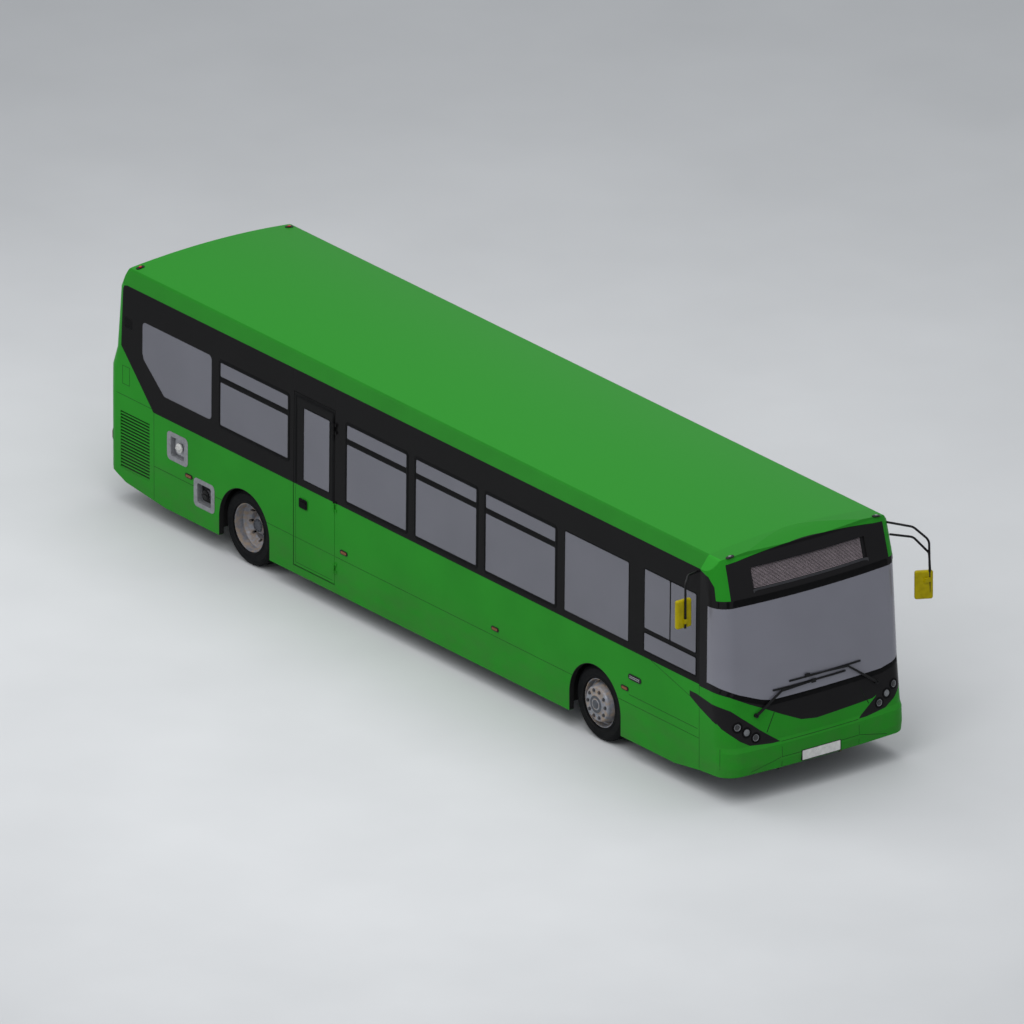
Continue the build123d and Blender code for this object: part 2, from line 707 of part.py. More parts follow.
# seat rows: side, x of the back's foot, floor height
SEAT_ROWS = (
    ("right", -1150, FLOOR), ("right", -400, FLOOR), ("right", 350, FLOOR), ("right", 1100, FLOOR),
    ("right", 1850, FLOOR),
    ("left", -2050, FLOOR), ("left", -1300, FLOOR), ("left", -550, FLOOR), ("left", 200, FLOOR),
    ("right", -2980, REAR_FLOOR), ("right", -3680, REAR_FLOOR), ("right", -4380, REAR_FLOOR),
    ("left", -2980, REAR_FLOOR), ("left", -3680, REAR_FLOOR), ("left", -4380, REAR_FLOOR),
)
SEAT_WIDTH = 860
DRIVER_SHELL = ((430, 740), (430, 790), (30, 790), (-110, 1500), (-150, 1500), (-40, 740))
DASH = ((5010, 760), (4960, 1000), (5060, 1120), (5480, 1090), (5480, FLOOR), (5250, FLOOR))
BENCH_SHELL = ((380, 0), (380, 300), (20, 300), (-80, 950), (-120, 950), (-60, 0))
BENCH_PADS = (((375, 302), (375, 355), (40, 355), (28, 302)), ((25, 365), (70, 365), (-20, 920), (-70, 920)))
SEAT_SHELL = ((430, 370), (430, 398), (20, 398), (-95, 1060), (-128, 1060), (-20, 370))
SEAT_PAD = ((425, 400), (425, 455), (40, 455), (28, 400))
BACK_PAD = ((30, 465), (75, 465), (-30, 1030), (-82, 1030))


def seats():
    shells = []
    pads = []
    for side, x, floor in SEAT_ROWS:
        sign = SIDES[side]
        centre = sign * (LINING - 22 - SEAT_WIDTH / 2)
        half = SEAT_WIDTH / 2
        shell = side_prism(SEAT_SHELL, centre - half, centre + half)
        leg_centre = sign * 430
        shell += block((60, 340), (leg_centre - 20, leg_centre + 20), (0, 375))
        shells.append(Pos(x, 0, floor) * shell)
        for place in (-1, 1):
            middle = centre + place * half / 2
            for outline in (SEAT_PAD, BACK_PAD):
                reach = half / 2 - 14
                pads.append(Pos(x, 0, floor) * side_prism(outline, middle - reach, middle + reach))
    bench = side_prism(BENCH_SHELL, -1120, 1120)
    shells.append(Pos(-5080, 0, ENGINE_DECK) * bench)
    for place in range(-2, 3):
        middle = place * 440
        for outline in BENCH_PADS:
            pads.append(Pos(-5080, 0, ENGINE_DECK) * side_prism(outline, middle - 205, middle + 205))
    NODES["seat_shells"] = Compound(shells)
    NODES["seat_pads"] = Compound(pads + driver_pads())


def driver_pads():
    cx, cy = DRIVER_SEAT
    pad = side_prism(
        ((cx + 440, 792), (cx + 440, 880), (cx + 60, 880), (cx + 45, 792)), cy - 235, cy + 235
    )
    back = side_prism(
        ((cx + 45, 890), (cx + 110, 890), (cx - 20, 1490), (cx - 92, 1490)), cy - 225, cy + 225
    )
    return [pad, back]


def cab():
    cx, cy = DRIVER_SEAT
    outline = [(cx + x, z) for x, z in DRIVER_SHELL]
    shell = side_prism(outline, cy - 240, cy + 240)
    shell += block((cx + 60, cx + 340), (cy - 150, cy + 150), (FLOOR, 745))
    NODES["driver_seat"] = shell

    dash = side_prism(DASH, -1190, -340)
    NODES["dashboard"] = dash & body_form(WALL + 2)

    partition = block((3850, 3880), (-LINING + 1, -360), (FLOOR, 2050))
    partition += block((3850, 4760), (-390, -360), (FLOOR, 1320))
    NODES["cab_partition"] = partition & body_form(WALL + 1)

    rails = []
    for side in SIDES:
        y = SIDES[side] * RAIL_LINE
        rail = Pos(0, y, 1900) * Rot(0, 90, 0) * Cylinder(RAIL_RADIUS, 7400)
        for x in (-3650, -2450, -800, 700, 2200, 3600):
            floor = FLOOR if x > -2350 else REAR_FLOOR
            rail += post(x, y, floor, RAIL_RADIUS, 2810 - floor)
        rails.append(rail & body_form(WALL + 1))
    NODES["grab_rails"] = Compound(rails)


STEERING_CENTRE = (4800, -740, 1180)
STEERING_TILT = 28


def steering_wheel():
    place = Pos(*STEERING_CENTRE) * Rot(0, -STEERING_TILT, 0)
    ring = Torus(215, 16)
    hub = Pos(0, 0, -25) * Cylinder(48, 50)
    wheel = ring + hub
    for angle in (90, 210, 330):
        wheel += Rot(0, 0, angle) * Pos(120, 0, -14) * Box(190, 34, 12)
    NODES["steering_wheel"] = place * wheel
    column = place * Pos(0, 0, -56) * Cylinder(38, 520, align=(Align.CENTER, Align.CENTER, Align.MAX))
    column += block((4960, 5100), (-790, -690), (FLOOR, 700))
    NODES["dashboard"] += column & block((4500, 5300), (-900, -500), (FLOOR, 1400))


# ---------------------------------------------------------------- chassis
# longitudinal rails as x, y and z ranges: under the low floor, under the platform, tail
CHASSIS_RAILS = (
    ((-2300, 2680), (380, 460), (190, 290)),
    ((3860, 5380), (380, 460), (190, 290)),
    ((-5500, -2430), (470, 550), (520, 650)),
)
TOW_BORE = 20


def chassis():
    rails = []
    for side in SIDES:
        for x, y, z in CHASSIS_RAILS:
            rails.append(block(x, sided(side, *y), z))
    frame = rails[0]
    for rail in rails[1:]:
        frame += rail
    for x in (-2200, -1000, 200, 1400, 2600, 4000, 5200):
        reach = 1150 if x < 3900 else 1000
        frame += block((x - 35, x + 35), (-reach, reach), (230, 290))
    for x in (-5450, -4400, -3850, -2480):
        reach = 1100 if x < -3700 else 550
        frame += block((x - 30, x + 30), (-reach, reach), (560, 650))
    for side in SIDES:
        lug = block((5370, 5560), sided(side, 405, 435), (210, 285))
        lug = fillet(lug.edges().filter_by(Axis.Y).group_by(Axis.X)[-1], 35)
        lug -= Pos(5520, 0, 248) * Rot(90, 0, 0) * Cylinder(TOW_BORE, 2000)
        frame += lug
    NODES["chassis_frame"] = Compound(frame.solids())
    engine = block((-5480, -4520), (-440, 440), (330, 990))
    NODES["engine_block"] = engine - frame
    tank = block((-4440, -3760), (-1150, -620), (260, 480))
    tank = fillet(tank.edges().filter_by(Axis.X), 60)
    for x in (-4400, -3850):
        tank += block((x - 20, x + 20), (-910, -860), (470, 560))
    NODES["fuel_tank"] = tank


KINGPIN = 960
BEAM_HALF = 45


def front_axle():
    arm = (
        (0, 200), (690, 200), (800, 330), (900, 395), (KINGPIN, 395),
        (KINGPIN, 485), (880, 485), (770, 440), (640, 290), (0, 290),
    )
    half = front_prism(arm, AXLE_FRONT - BEAM_HALF, AXLE_FRONT + BEAM_HALF)
    half += post(AXLE_FRONT, KINGPIN, 335, 20, 215) + post(AXLE_FRONT, KINGPIN, 384, 40, 112)
    trim = block((AXLE_FRONT - 60, AXLE_FRONT + 60), (KINGPIN, KINGPIN + 80), (300, 600)) - Pos(
        AXLE_FRONT, KINGPIN, 442
    ) * Cylinder(40, 400)
    half -= trim
    NODES["front_axle"] = half + mirrored(half)

    for side, sign in SIDES.items():
        knuckle = None
        for z in (342, 503):
            lug = post(AXLE_FRONT, KINGPIN, z, 42, 36)
            lug += block((AXLE_FRONT - 42, AXLE_FRONT + 42), (KINGPIN, KINGPIN + 60), (z, z + 36))
            lug -= Pos(AXLE_FRONT, KINGPIN, z) * Cylinder(20.05, 100)
            knuckle = lug if knuckle is None else knuckle + lug
        knuckle += block((AXLE_FRONT - 60, AXLE_FRONT + 60), (KINGPIN + 46, KINGPIN + 66), (342, 539))
        knuckle += Pos(AXLE_FRONT, KINGPIN + 60, AXLE_HEIGHT) * Rot(-90, 0, 0) * Cylinder(
            32, 110, align=(Align.CENTER, Align.CENTER, Align.MIN)
        )
        arm_bar = block((AXLE_FRONT - 130, AXLE_FRONT - 38), (KINGPIN - 16, KINGPIN + 16), (342, 368))
        for z, radius, height in ((342, 18, 26), (246, 10, 100)):
            arm_bar += post(AXLE_FRONT - 130, KINGPIN, z, radius, height)
        knuckle += arm_bar
        NODES[f"knuckle_{side}"] = knuckle if sign > 0 else mirrored(knuckle)

    rod = Pos(AXLE_FRONT - 130, 0, 262) * Rot(90, 0, 0) * Cylinder(15, 2 * KINGPIN - 30)
    for sign, bore in ((1, 10.05), (-1, 11.5)):
        eye = Pos(AXLE_FRONT - 130, sign * KINGPIN, 262) * Cylinder(20, 26)
        rod += eye
        rod -= Pos(AXLE_FRONT - 130, sign * KINGPIN, 262) * Cylinder(bore, 60)
    NODES["track_rod"] = rod

    springs = []
    for side in SIDES:
        sign = SIDES[side]
        low, high = sided(side, FRONT_BOX_INNER + BOX_SHEET, 618)
        spring = post(AXLE_FRONT, sign * 540, 290, 70, 250)
        spring += block((AXLE_FRONT - 80, AXLE_FRONT + 80), (low, high), (540, 552))
        springs.append(spring)
        for way in (-1, 1):
            springs.append(post(AXLE_REAR + way * 400, sign * 380, 372, 90, 278))
    NODES["air_springs"] = Compound(springs)


def rear_axle():
    profile = make_face(
        Polyline(
            (0, 0), (0, 185), (95, 170), (170, 80), (560, 62), (560, 150), (590, 150),
            (590, 34), (858, 34), (858, 0),
            close=True,
        )
    )
    # profile is (y, radius), turned about the wheel axis
    half = revolve(Plane.YZ * profile, Axis.Y)
    housing = Pos(AXLE_REAR, 0, AXLE_HEIGHT) * (half + mirrored(half))
    for side in SIDES:
        housing += block((AXLE_REAR - 500, AXLE_REAR + 500), sided(side, 340, 420), (330, 372))
        housing += block((AXLE_REAR - 60, AXLE_REAR + 60), sided(side, 340, 420), (372, AXLE_HEIGHT))
    NODES["rear_axle"] = housing


# ---------------------------------------------------------------- wheels
TREAD = ((0, RIM_RADIUS), (0, 300), (22, 395), (48, 434), (60, TYRE_RADIUS))


def tyre(inner_face):
    """Tyre ring about Y, its inboard face at the given distance from the centre line."""
    edge = [(inner_face + y, r) for y, r in TREAD]
    edge += [(inner_face + TYRE_WIDTH - y, r) for y, r in reversed(TREAD)]
    face = make_face(Polyline(*edge, close=True))
    return revolve(Plane.YZ * face, Axis.Y)


def wheels():
    inner = TYRE_OUTER - TYRE_WIDTH
    for side, sign in SIDES.items():
        front = Pos(AXLE_FRONT, 0, AXLE_HEIGHT) * tyre(inner)
        NODES[f"front_tyre_{side}"] = front if sign > 0 else mirrored(front)
        outer = tyre(inner)
        twin = tyre(inner - TWIN_PITCH)
        pair = Pos(AXLE_REAR, 0, AXLE_HEIGHT) * Compound([outer, twin])
        NODES[f"rear_tyres_{side}"] = pair if sign > 0 else mirrored(pair)
        rim = Pos(AXLE_FRONT, 0, AXLE_HEIGHT) * front_wheel(inner)
        NODES[f"front_wheel_{side}"] = rim if sign > 0 else mirrored(rim)
        rims = Pos(AXLE_REAR, 0, AXLE_HEIGHT) * rear_wheel(inner)
        NODES[f"rear_wheels_{side}"] = rims if sign > 0 else mirrored(rims)


def ring(points):
    return revolve(Plane.YZ * make_face(Polyline(*points, close=True)), Axis.Y)


HAND_HOLES = 10
HOLE_RADIUS = 17
HOLE_PHASE = 12
RIM_WALL = 14


def hand_holes(y, radius, length):
    """The ring of ventilation holes through a wheel disc."""
    holes = []
    for index in range(HAND_HOLES):
        angle = HOLE_PHASE + 360 / HAND_HOLES * index
        hole = Cylinder(HOLE_RADIUS, length)
        holes.append(Rot(0, angle, 0) * Pos(0, y, radius) * Rot(90, 0, 0) * hole)
    return holes


def front_wheel(inner):
    """Rim with a disc that stands out past the tyre, and the brake drum behind it."""
    barrel = RIM_RADIUS
    y0 = inner + 25
    y1 = inner + TYRE_WIDTH - 25
    body = ring((
        (y0, barrel), (y1, barrel), (y1 + 4, barrel - 4), (y1 + 4, barrel - RIM_WALL), (y1 - 24, 266),
        (1105, 262), (1098, 250), (1112, 236), (1205, 206), (1222, 196), (1226, 186), (1226, 118),
        (1236, 100), (1242, 60), (1242, 0), (1200, 0), (1200, 178), (1188, 190), (1098, 222),
        (1084, 244), (1084, barrel - 16), (y0, barrel - RIM_WALL),
    ))
    for hole in hand_holes(1130, 238, 120):
        body -= hole
    drum = ring(((1034, 0), (1034, 188), (1170, 188), (1200, 168), (1200, 0)))
    drum -= Pos(0, 1034, 0) * Rot(90, 0, 0) * Cylinder(40, 230)
    return body + drum


def rear_wheel(inner):
    """The deep outer rim and its twin, bolted back to back, with drum and hub."""
    barrel = RIM_RADIUS
    y0 = inner + 25
    y1 = inner + TYRE_WIDTH - 25
    mate = y0 - 32
    outer = ring((
        (y0, barrel), (y1, barrel), (y1 + 4, barrel - 4), (y1 + 4, barrel - RIM_WALL), (1065, 266),
        (1020, 238), (985, 206), (935, 188), (mate + 15, 180), (mate + 15, 0), (mate, 0), (mate, 196),
        (920, 202), (968, 216), (1002, 246), (1040, barrel - 15), (y0, barrel - RIM_WALL),
    ))
    for hole in hand_holes(1000, 216, 120):
        outer -= hole
    hub = ring(((mate + 15, 0), (mate + 15, 105), (y0 + 90, 100), (y0 + 110, 80), (y0 + 110, 0)))
    b0 = inner - TWIN_PITCH + 25
    b1 = inner - TWIN_PITCH + TYRE_WIDTH - 25
    twin = ring((
        (b0, barrel), (b1, barrel), (b1, barrel - RIM_WALL), (b1 + 2, 240), (y0 - 50, 208), (mate, 208),
        (mate, 180), (y0 - 60, 180), (b1 - 16, 236), (b1 - 40, barrel - 16), (b0, barrel - RIM_WALL),
    ))
    drum = ring(((640, 0), (640, 200), (y0 - 50, 200), (mate, 180), (mate, 0)))
    drum -= Pos(0, 600, 0) * Rot(-90, 0, 0) * Cylinder(
        45, y0 - 80 - 600, align=(Align.CENTER, Align.CENTER, Align.MIN)
    )
    return outer + hub + twin + drum


# ---------------------------------------------------------------- assembly
body_panels()
NODES["filler_pockets"] = filler_pockets()
NODES["louvre_panel"] = louvre_panel()
NODES["engine_lid"] = engine_lid()
door_barrels = emergency_door()
NODES["hinge_barrels"] = Compound(door_barrels + lid_hinges())
entrance_door("rear", DOORWAY_REAR, 1)
entrance_door("front", DOORWAY_FRONT, -1)
lenses = []
for side, sign in SIDES.items():
    for y, z in LAMPS:
        lens = Pos(5500, sign * y, z) * Rot(0, 90, 0) * Cylinder(LAMP_BORE, 600)
        lenses.append(LAMP_SKIN & lens)
NODES["headlamps"] = Compound(lenses)
NODES["wipers"] = wipers()
mirrors()
floors()
seats()
cab()
steering_wheel()
chassis()
front_axle()
rear_axle()
wheels()

os.makedirs("parts", exist_ok=True)
for name, shape in NODES.items():
    export_step(shape, f"parts/{name}.step")
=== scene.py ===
"""Looks of a single-deck low-floor city bus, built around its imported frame."""

import logging
import math
from dataclasses import dataclass, field
from enum import Enum
from itertools import product
from typing import Callable, Dict, Iterable, List, Optional, Sequence, Tuple

import bmesh
import bpy
from mathutils import Matrix, Vector
from mathutils.bvhtree import BVHTree


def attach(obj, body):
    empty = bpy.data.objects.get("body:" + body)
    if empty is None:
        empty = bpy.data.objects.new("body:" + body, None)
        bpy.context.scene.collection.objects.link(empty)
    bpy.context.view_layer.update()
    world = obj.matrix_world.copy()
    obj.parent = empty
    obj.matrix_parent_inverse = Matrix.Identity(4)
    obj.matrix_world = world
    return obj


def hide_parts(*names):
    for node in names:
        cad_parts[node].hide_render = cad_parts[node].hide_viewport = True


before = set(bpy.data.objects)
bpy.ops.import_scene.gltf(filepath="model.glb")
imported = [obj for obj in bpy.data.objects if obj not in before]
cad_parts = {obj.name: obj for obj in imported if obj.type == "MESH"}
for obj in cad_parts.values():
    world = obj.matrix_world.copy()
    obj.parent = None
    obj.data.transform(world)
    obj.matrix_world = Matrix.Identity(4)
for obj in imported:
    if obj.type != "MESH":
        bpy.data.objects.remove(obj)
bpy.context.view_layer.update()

LOG = logging.getLogger("city_bus")
Point = Tuple[float, float, float]
Flat = Tuple[float, float]
Path = Tuple[Flat, ...]
Colour = Tuple[float, float, float]
Socket = bpy.types.NodeSocket
# A point on a surface with its outward normal
Spot = Tuple[Vector, Vector]

# Places in the shared frame, in metres: +X forward, +Y nearside, +Z up
AXLE_FRONT = 3.280
AXLE_REAR = -3.180
AXLE_HEIGHT = 0.442
WAIST = 1.296
COVE_HEAD = 2.797
SWAGE = 0.659
TYRE_RADIUS = 0.442
TYRE_WIDTH = 0.275
TYRE_INNER = 0.920
TWINS = (TYRE_INNER, TYRE_INNER - 0.320)
SIDES = {"right": -1, "left": 1}
NOSE_TIP = 5.74977
FLOOR = 0.330
REAR_FLOOR = 0.690
# Height where road film starts on the paint, and where it is full
FILM_HEIGHT = (0.95, 0.20)
BAND: Colour = (0.0075, 0.0072, 0.0075)
ROAD_FILM: Colour = (0.075, 0.085, 0.055)
DUST: Colour = (0.11, 0.10, 0.085)


class Body(Enum):
    """The frame's bodies that pieces ride on."""

    ROOT = "root"
    EXIT = "emergency_door"
    LID = "engine_lid"
    WHEEL = "steering_wheel"


# ------------------------------------------------------------------ node helper


class Graph:
    """A material's node tree with short calls for the nodes used here."""

    def __init__(self, name: str) -> None:
        """Starts an empty material.

        Args:
            name: the material's name.
        """
        self.material = bpy.data.materials.new(name)
        self.material.use_nodes = True
        self.tree = self.material.node_tree
        self.shader = self.tree.nodes["Principled BSDF"]
        self.coords = self.tree.nodes.new("ShaderNodeTexCoord").outputs["Object"]

    def set(self, **values: float) -> None:
        """Sets inputs of the shader by name, with _ for a space."""
        for key, value in values.items():
            self.shader.inputs[key.replace("_", " ")].default_value = value

    def feed(self, name: str, value: Socket) -> None:
        """Links a value to the shader."""
        self.tree.links.new(value, self.shader.inputs[name])

    def node(self, kind: str, output: object, inputs: Dict[object, object], **settings: str) -> Socket:
        """Adds a node.

        Args:
            kind: its type, without the common prefix.
            output: name or number of the wanted output.
            inputs: a socket or a value for each input.
            settings: its other properties.

        Returns:
            The output.
        """
        node = self.tree.nodes.new("ShaderNode" + kind)
        for name, value in settings.items():
            setattr(node, name, value)
        for key, value in inputs.items():
            if isinstance(value, Socket):
                self.tree.links.new(value, node.inputs[key])
            else:
                node.inputs[key].default_value = value
        return node.outputs[output]

    def noise(self, scale: float, detail: float = 3.0, stretch: Point = (1, 1, 1)) -> Socket:
        """Noise over the object, of scale cells a metre, stretched on the three axes."""
        place = self.node("Mapping", 0, {"Scale": stretch, "Vector": self.coords})
        return self.node("TexNoise", 0, {"Scale": scale, "Detail": detail, "Vector": place})

    def axis(self, name: str) -> Socket:
        """The object coordinate X, Y or Z."""
        return self.node("SeparateXYZ", name, {0: self.coords})

    def ramp(self, value: Socket, low: float, high: float, to: Flat = (0.0, 1.0)) -> Socket:
        """A clamped linear map of the value from low and high to the range to."""
        ends = {"From Min": low, "From Max": high, "To Min": to[0], "To Max": to[1]}
        return self.node("MapRange", "Result", {"Value": value, **ends})

    def math(self, kind: str, a: Socket, b: object) -> Socket:
        """The operation kind on a and on b, a socket or a number."""
        return self.node("Math", 0, {0: a, 1: b}, operation=kind)

    def mix(self, factor: Socket, a: object, b: object) -> Socket:
        """A mix of two colours or sockets, where factor 0 gives a and 1 gives b."""
        a, b = ((*value, 1.0) if isinstance(value, tuple) else value for value in (a, b))
        return self.node("Mix", 2, {"Factor": factor, 6: a, 7: b}, data_type="RGBA")

    def cloud(self, scale: float, detail: float = 3.0, to: Flat = (0.0, 1.0), low: float = 0.3,
              high: float = 0.7, stretch: Point = (1, 1, 1)) -> Socket:
        """Noise from low to high spread over the range to."""
        return self.ramp(self.noise(scale, detail, stretch), low, high, to)

    def mottle(self, colour: Colour, factors: Flat, scale: float, detail: float = 3.0) -> Socket:
        """The colour in patches, darkest and lightest by two factors."""
        dark, light = (shade(colour, factor) for factor in factors)
        return self.mix(self.cloud(scale, detail), dark, light)

    def bump(self, height: Socket, strength: float, distance: float = 0.001) -> None:
        """Adds bump on top of what is there.

        Args:
            height: the height socket.
            strength: 0 to 1.
            distance: the height's size in metres.
        """
        inputs = {"Strength": strength, "Distance": distance, "Height": height}
        before = self.shader.inputs["Normal"].links
        if before:
            inputs["Normal"] = before[0].from_socket
        self.feed("Normal", self.node("Bump", 0, inputs))


# ------------------------------------------------------------------ finishes


def shade(colour: Colour, factor: float) -> Colour:
    """The colour times a factor."""
    return tuple(min(1.0, c * factor) for c in colour)


@dataclass(frozen=True)
class Finish:
    """A finish by name and main colour; each kind of it fills in the graph."""

    name: str
    colour: Colour

    def make(self) -> bpy.types.Material:
        """Builds the material.

        Returns:
            The material.
        """
        graph = Graph(self.name)
        self.fill(graph)
        return graph.material

    def fill(self, g: Graph) -> None:
        """Fills in the graph; each kind of finish does so in its own way."""
        raise NotImplementedError


@dataclass(frozen=True)
class Paint(Finish):
    """Coach paint with faint orange peel, road film low down and soft fading.

    It takes the colour above over the split height. arch (half width, crown, fall) bounds the parts
    that are black; a depth range (two places across) darkens the deeper parts towards black, a
    painted shade in the recess.
    """

    film: float = 0.35
    above: Optional[Colour] = None
    split: float = WAIST
    roughness: float = 0.32
    arch: Optional[Point] = None
    painted_shade_depth: Optional[Flat] = None
    sheen: float = 0.035

    def fill(self, g: Graph) -> None:
        """Fills in the graph.

        Args:
            g: the graph of the material.
        """
        g.set(Coat_Weight=0.6 * self.sheen, Coat_Roughness=0.2, Specular_IOR_Level=self.sheen)
        tone = g.mottle(self.colour, (0.94, 1.06), 1.3)
        if self.above is not None:
            tone = g.mix(g.math("GREATER_THAN", g.axis("Z"), self.split), tone, self.above)
        if self.arch is not None:
            half, crown, fall = self.arch
            across = g.math("ABSOLUTE", g.axis("Y"), 0.0)
            sag = g.math("MULTIPLY", g.math("MULTIPLY", across, across), fall)
            height = g.math("ADD", sag, g.axis("Z"))
            below, beside = g.math("LESS_THAN", height, crown), g.math("LESS_THAN", across, half)
            tone = g.mix(g.math("MULTIPLY", below, beside), tone, BAND)
        # Painted shade: the paint darkens towards black the deeper it lies within the given range
        # across.
        if self.painted_shade_depth is not None:
            tone = g.mix(g.ramp(g.axis("Y"), *self.painted_shade_depth, (0.0, 0.92)), tone, BAND)
        low = g.ramp(g.axis("Z"), *FILM_HEIGHT)
        film = g.math("MULTIPLY", low, g.cloud(5.0, 6.0, (0.1, 1.0), 0.35, 0.75, (0.6, 1, 1.4)))
        film = g.math("MULTIPLY", film, self.film)
        g.feed("Base Color", g.mix(film, tone, ROAD_FILM))
        g.feed("Roughness", g.ramp(film, 0.0, 0.4, (self.roughness, 0.62)))
        g.bump(g.noise(420.0, 2.0), 0.04, 0.0004)
        g.bump(g.noise(2.2, 1.0), 0.10, 0.0016)


@dataclass(frozen=True)
class Moulding(Finish):
    """Plastic with a fine moulded grain."""

    roughness: float = 0.45
    grain: float = 0.15
    grain_scale: float = 900.0
    sheen: float = 0.25

    def fill(self, g: Graph) -> None:
        """Fills in the graph.

        Args:
            g: the graph of the material.
        """
        g.set(Specular_IOR_Level=self.sheen)
        g.feed("Base Color", g.mottle(self.colour, (0.85, 1.15), 14.0))
        rough = (self.roughness * 0.85, min(1.0, self.roughness * 1.15))
        g.feed("Roughness", g.cloud(25.0, 4.0, rough))
        g.bump(g.noise(self.grain_scale, 2.0), self.grain, 0.0004)


@dataclass(frozen=True)
class Glazing(Finish):
    """Tinted safety glass, dense enough to hide most of the inside, with faint wipe marks."""

    alpha: float = 0.86

    def fill(self, g: Graph) -> None:
        """Fills in the graph.

        Args:
            g: the graph of the material.
        """
        g.set(Alpha=self.alpha, Specular_IOR_Level=0.5, IOR=1.5)
        tint = g.cloud(1.1, 2.0, low=0.35, high=0.65)
        g.feed("Base Color", g.mix(tint, shade(self.colour, 0.96), shade(self.colour, 1.04)))
        g.feed("Roughness", g.cloud(3.0, 5.0, (0.10, 0.22), 0.4, 0.7, (1, 1, 0.4)))
        g.bump(g.noise(1.7, 0.0), 0.05, 0.001)


@dataclass(frozen=True)
class Metal(Finish):
    """Metal with brushing, tarnish and optional rust in patches."""

    metallic: float = 1.0
    roughness: float = 0.4
    rust: float = 0.0
    rust_colour: Colour = (0.16, 0.07, 0.03)

    def fill(self, g: Graph) -> None:
        """Fills in the graph.

        Args:
            g: the graph of the material.
        """
        tone = g.mottle(self.colour, (0.8, 1.15), 30.0, 5.0)
        if self.rust > 0:
            patch = g.cloud(16.0, 8.0, (0.0, 0.85), 0.62 - 0.25 * self.rust, 0.72 - 0.1 * self.rust)
            tone = g.mix(patch, tone, self.rust_colour)
            g.feed("Metallic", g.ramp(patch, 0.0, 1.0, (self.metallic, 0.1)))
            g.feed("Roughness", g.ramp(patch, 0.0, 1.0, (self.roughness, 0.85)))
        else:
            g.set(Metallic=self.metallic)
            g.feed("Roughness", g.cloud(60.0, 4.0, (self.roughness * 0.85, self.roughness * 1.2)))
        g.feed("Base Color", tone)
        g.bump(g.noise(260.0, 4.0), 0.12, 0.0006)


@dataclass(frozen=True)
class Rubber(Finish):
    """Tyre or seal rubber, with dust in patches."""

    dust: float = 0.05

    def fill(self, g: Graph) -> None:
        """Fills in the graph.

        Args:
            g: the graph of the material.
        """
        g.set(Specular_IOR_Level=0.08)
        dust = g.math("MULTIPLY", g.cloud(18.0, 7.0, low=0.42, high=0.75), self.dust)
        g.feed("Base Color", g.mix(dust, self.colour, DUST))
        g.feed("Roughness", g.ramp(dust, 0.0, 0.3, (0.62, 0.9)))
        g.bump(g.noise(500.0, 3.0), 0.2, 0.0006)


@dataclass(frozen=True)
class Moquette(Finish):
    """Woven seat fabric in two muted tones with a fine check."""

    figure: Colour

    def fill(self, g: Graph) -> None:
        """Fills in the graph.

        Args:
            g: the graph of the material.
        """
        g.set(Sheen_Weight=0.35, Sheen_Roughness=0.5)
        check = g.node("TexChecker", "Fac", {"Scale": 22.0, "Vector": g.coords})
        figure = g.math("MULTIPLY", check, g.cloud(40.0, 5.0))
        g.feed("Base Color", g.mix(figure, self.colour, self.figure))
        g.feed("Roughness", g.cloud(80.0, to=(0.8, 0.95)))
        g.bump(g.noise(1400.0, 1.0), 0.5, 0.0008)


@dataclass(frozen=True)
class Flooring(Finish):
    """Anti-slip vinyl with pale flecks."""

    fleck: Colour

    def fill(self, g: Graph) -> None:
        """Fills in the graph.

        Args:
            g: the graph of the material.
        """
        flecks = g.cloud(700.0, 1.0, low=0.66, high=0.70)
        g.feed("Base Color", g.mix(flecks, self.colour, self.fleck))
        g.feed("Roughness", g.cloud(6.0, 5.0, (0.45, 0.65)))
        g.bump(g.noise(500.0, 2.0), 0.25, 0.0005)


@dataclass(frozen=True)
class Lens(Finish):
    """Lamp lens with moulded ribs."""

    rib: float = 160.0

    def fill(self, g: Graph) -> None:
        """Fills in the graph.

        Args:
            g: the graph of the material.
        """
        g.set(Coat_Weight=0.2, Coat_Roughness=0.1, Roughness=0.22, Specular_IOR_Level=0.3)
        g.feed("Base Color", g.mottle(self.colour, (0.8, 1.15), 60.0))
        ribs = g.node("TexWave", "Fac", {"Scale": self.rib, "Vector": g.coords}, bands_direction="Z")
        g.bump(ribs, 0.25)


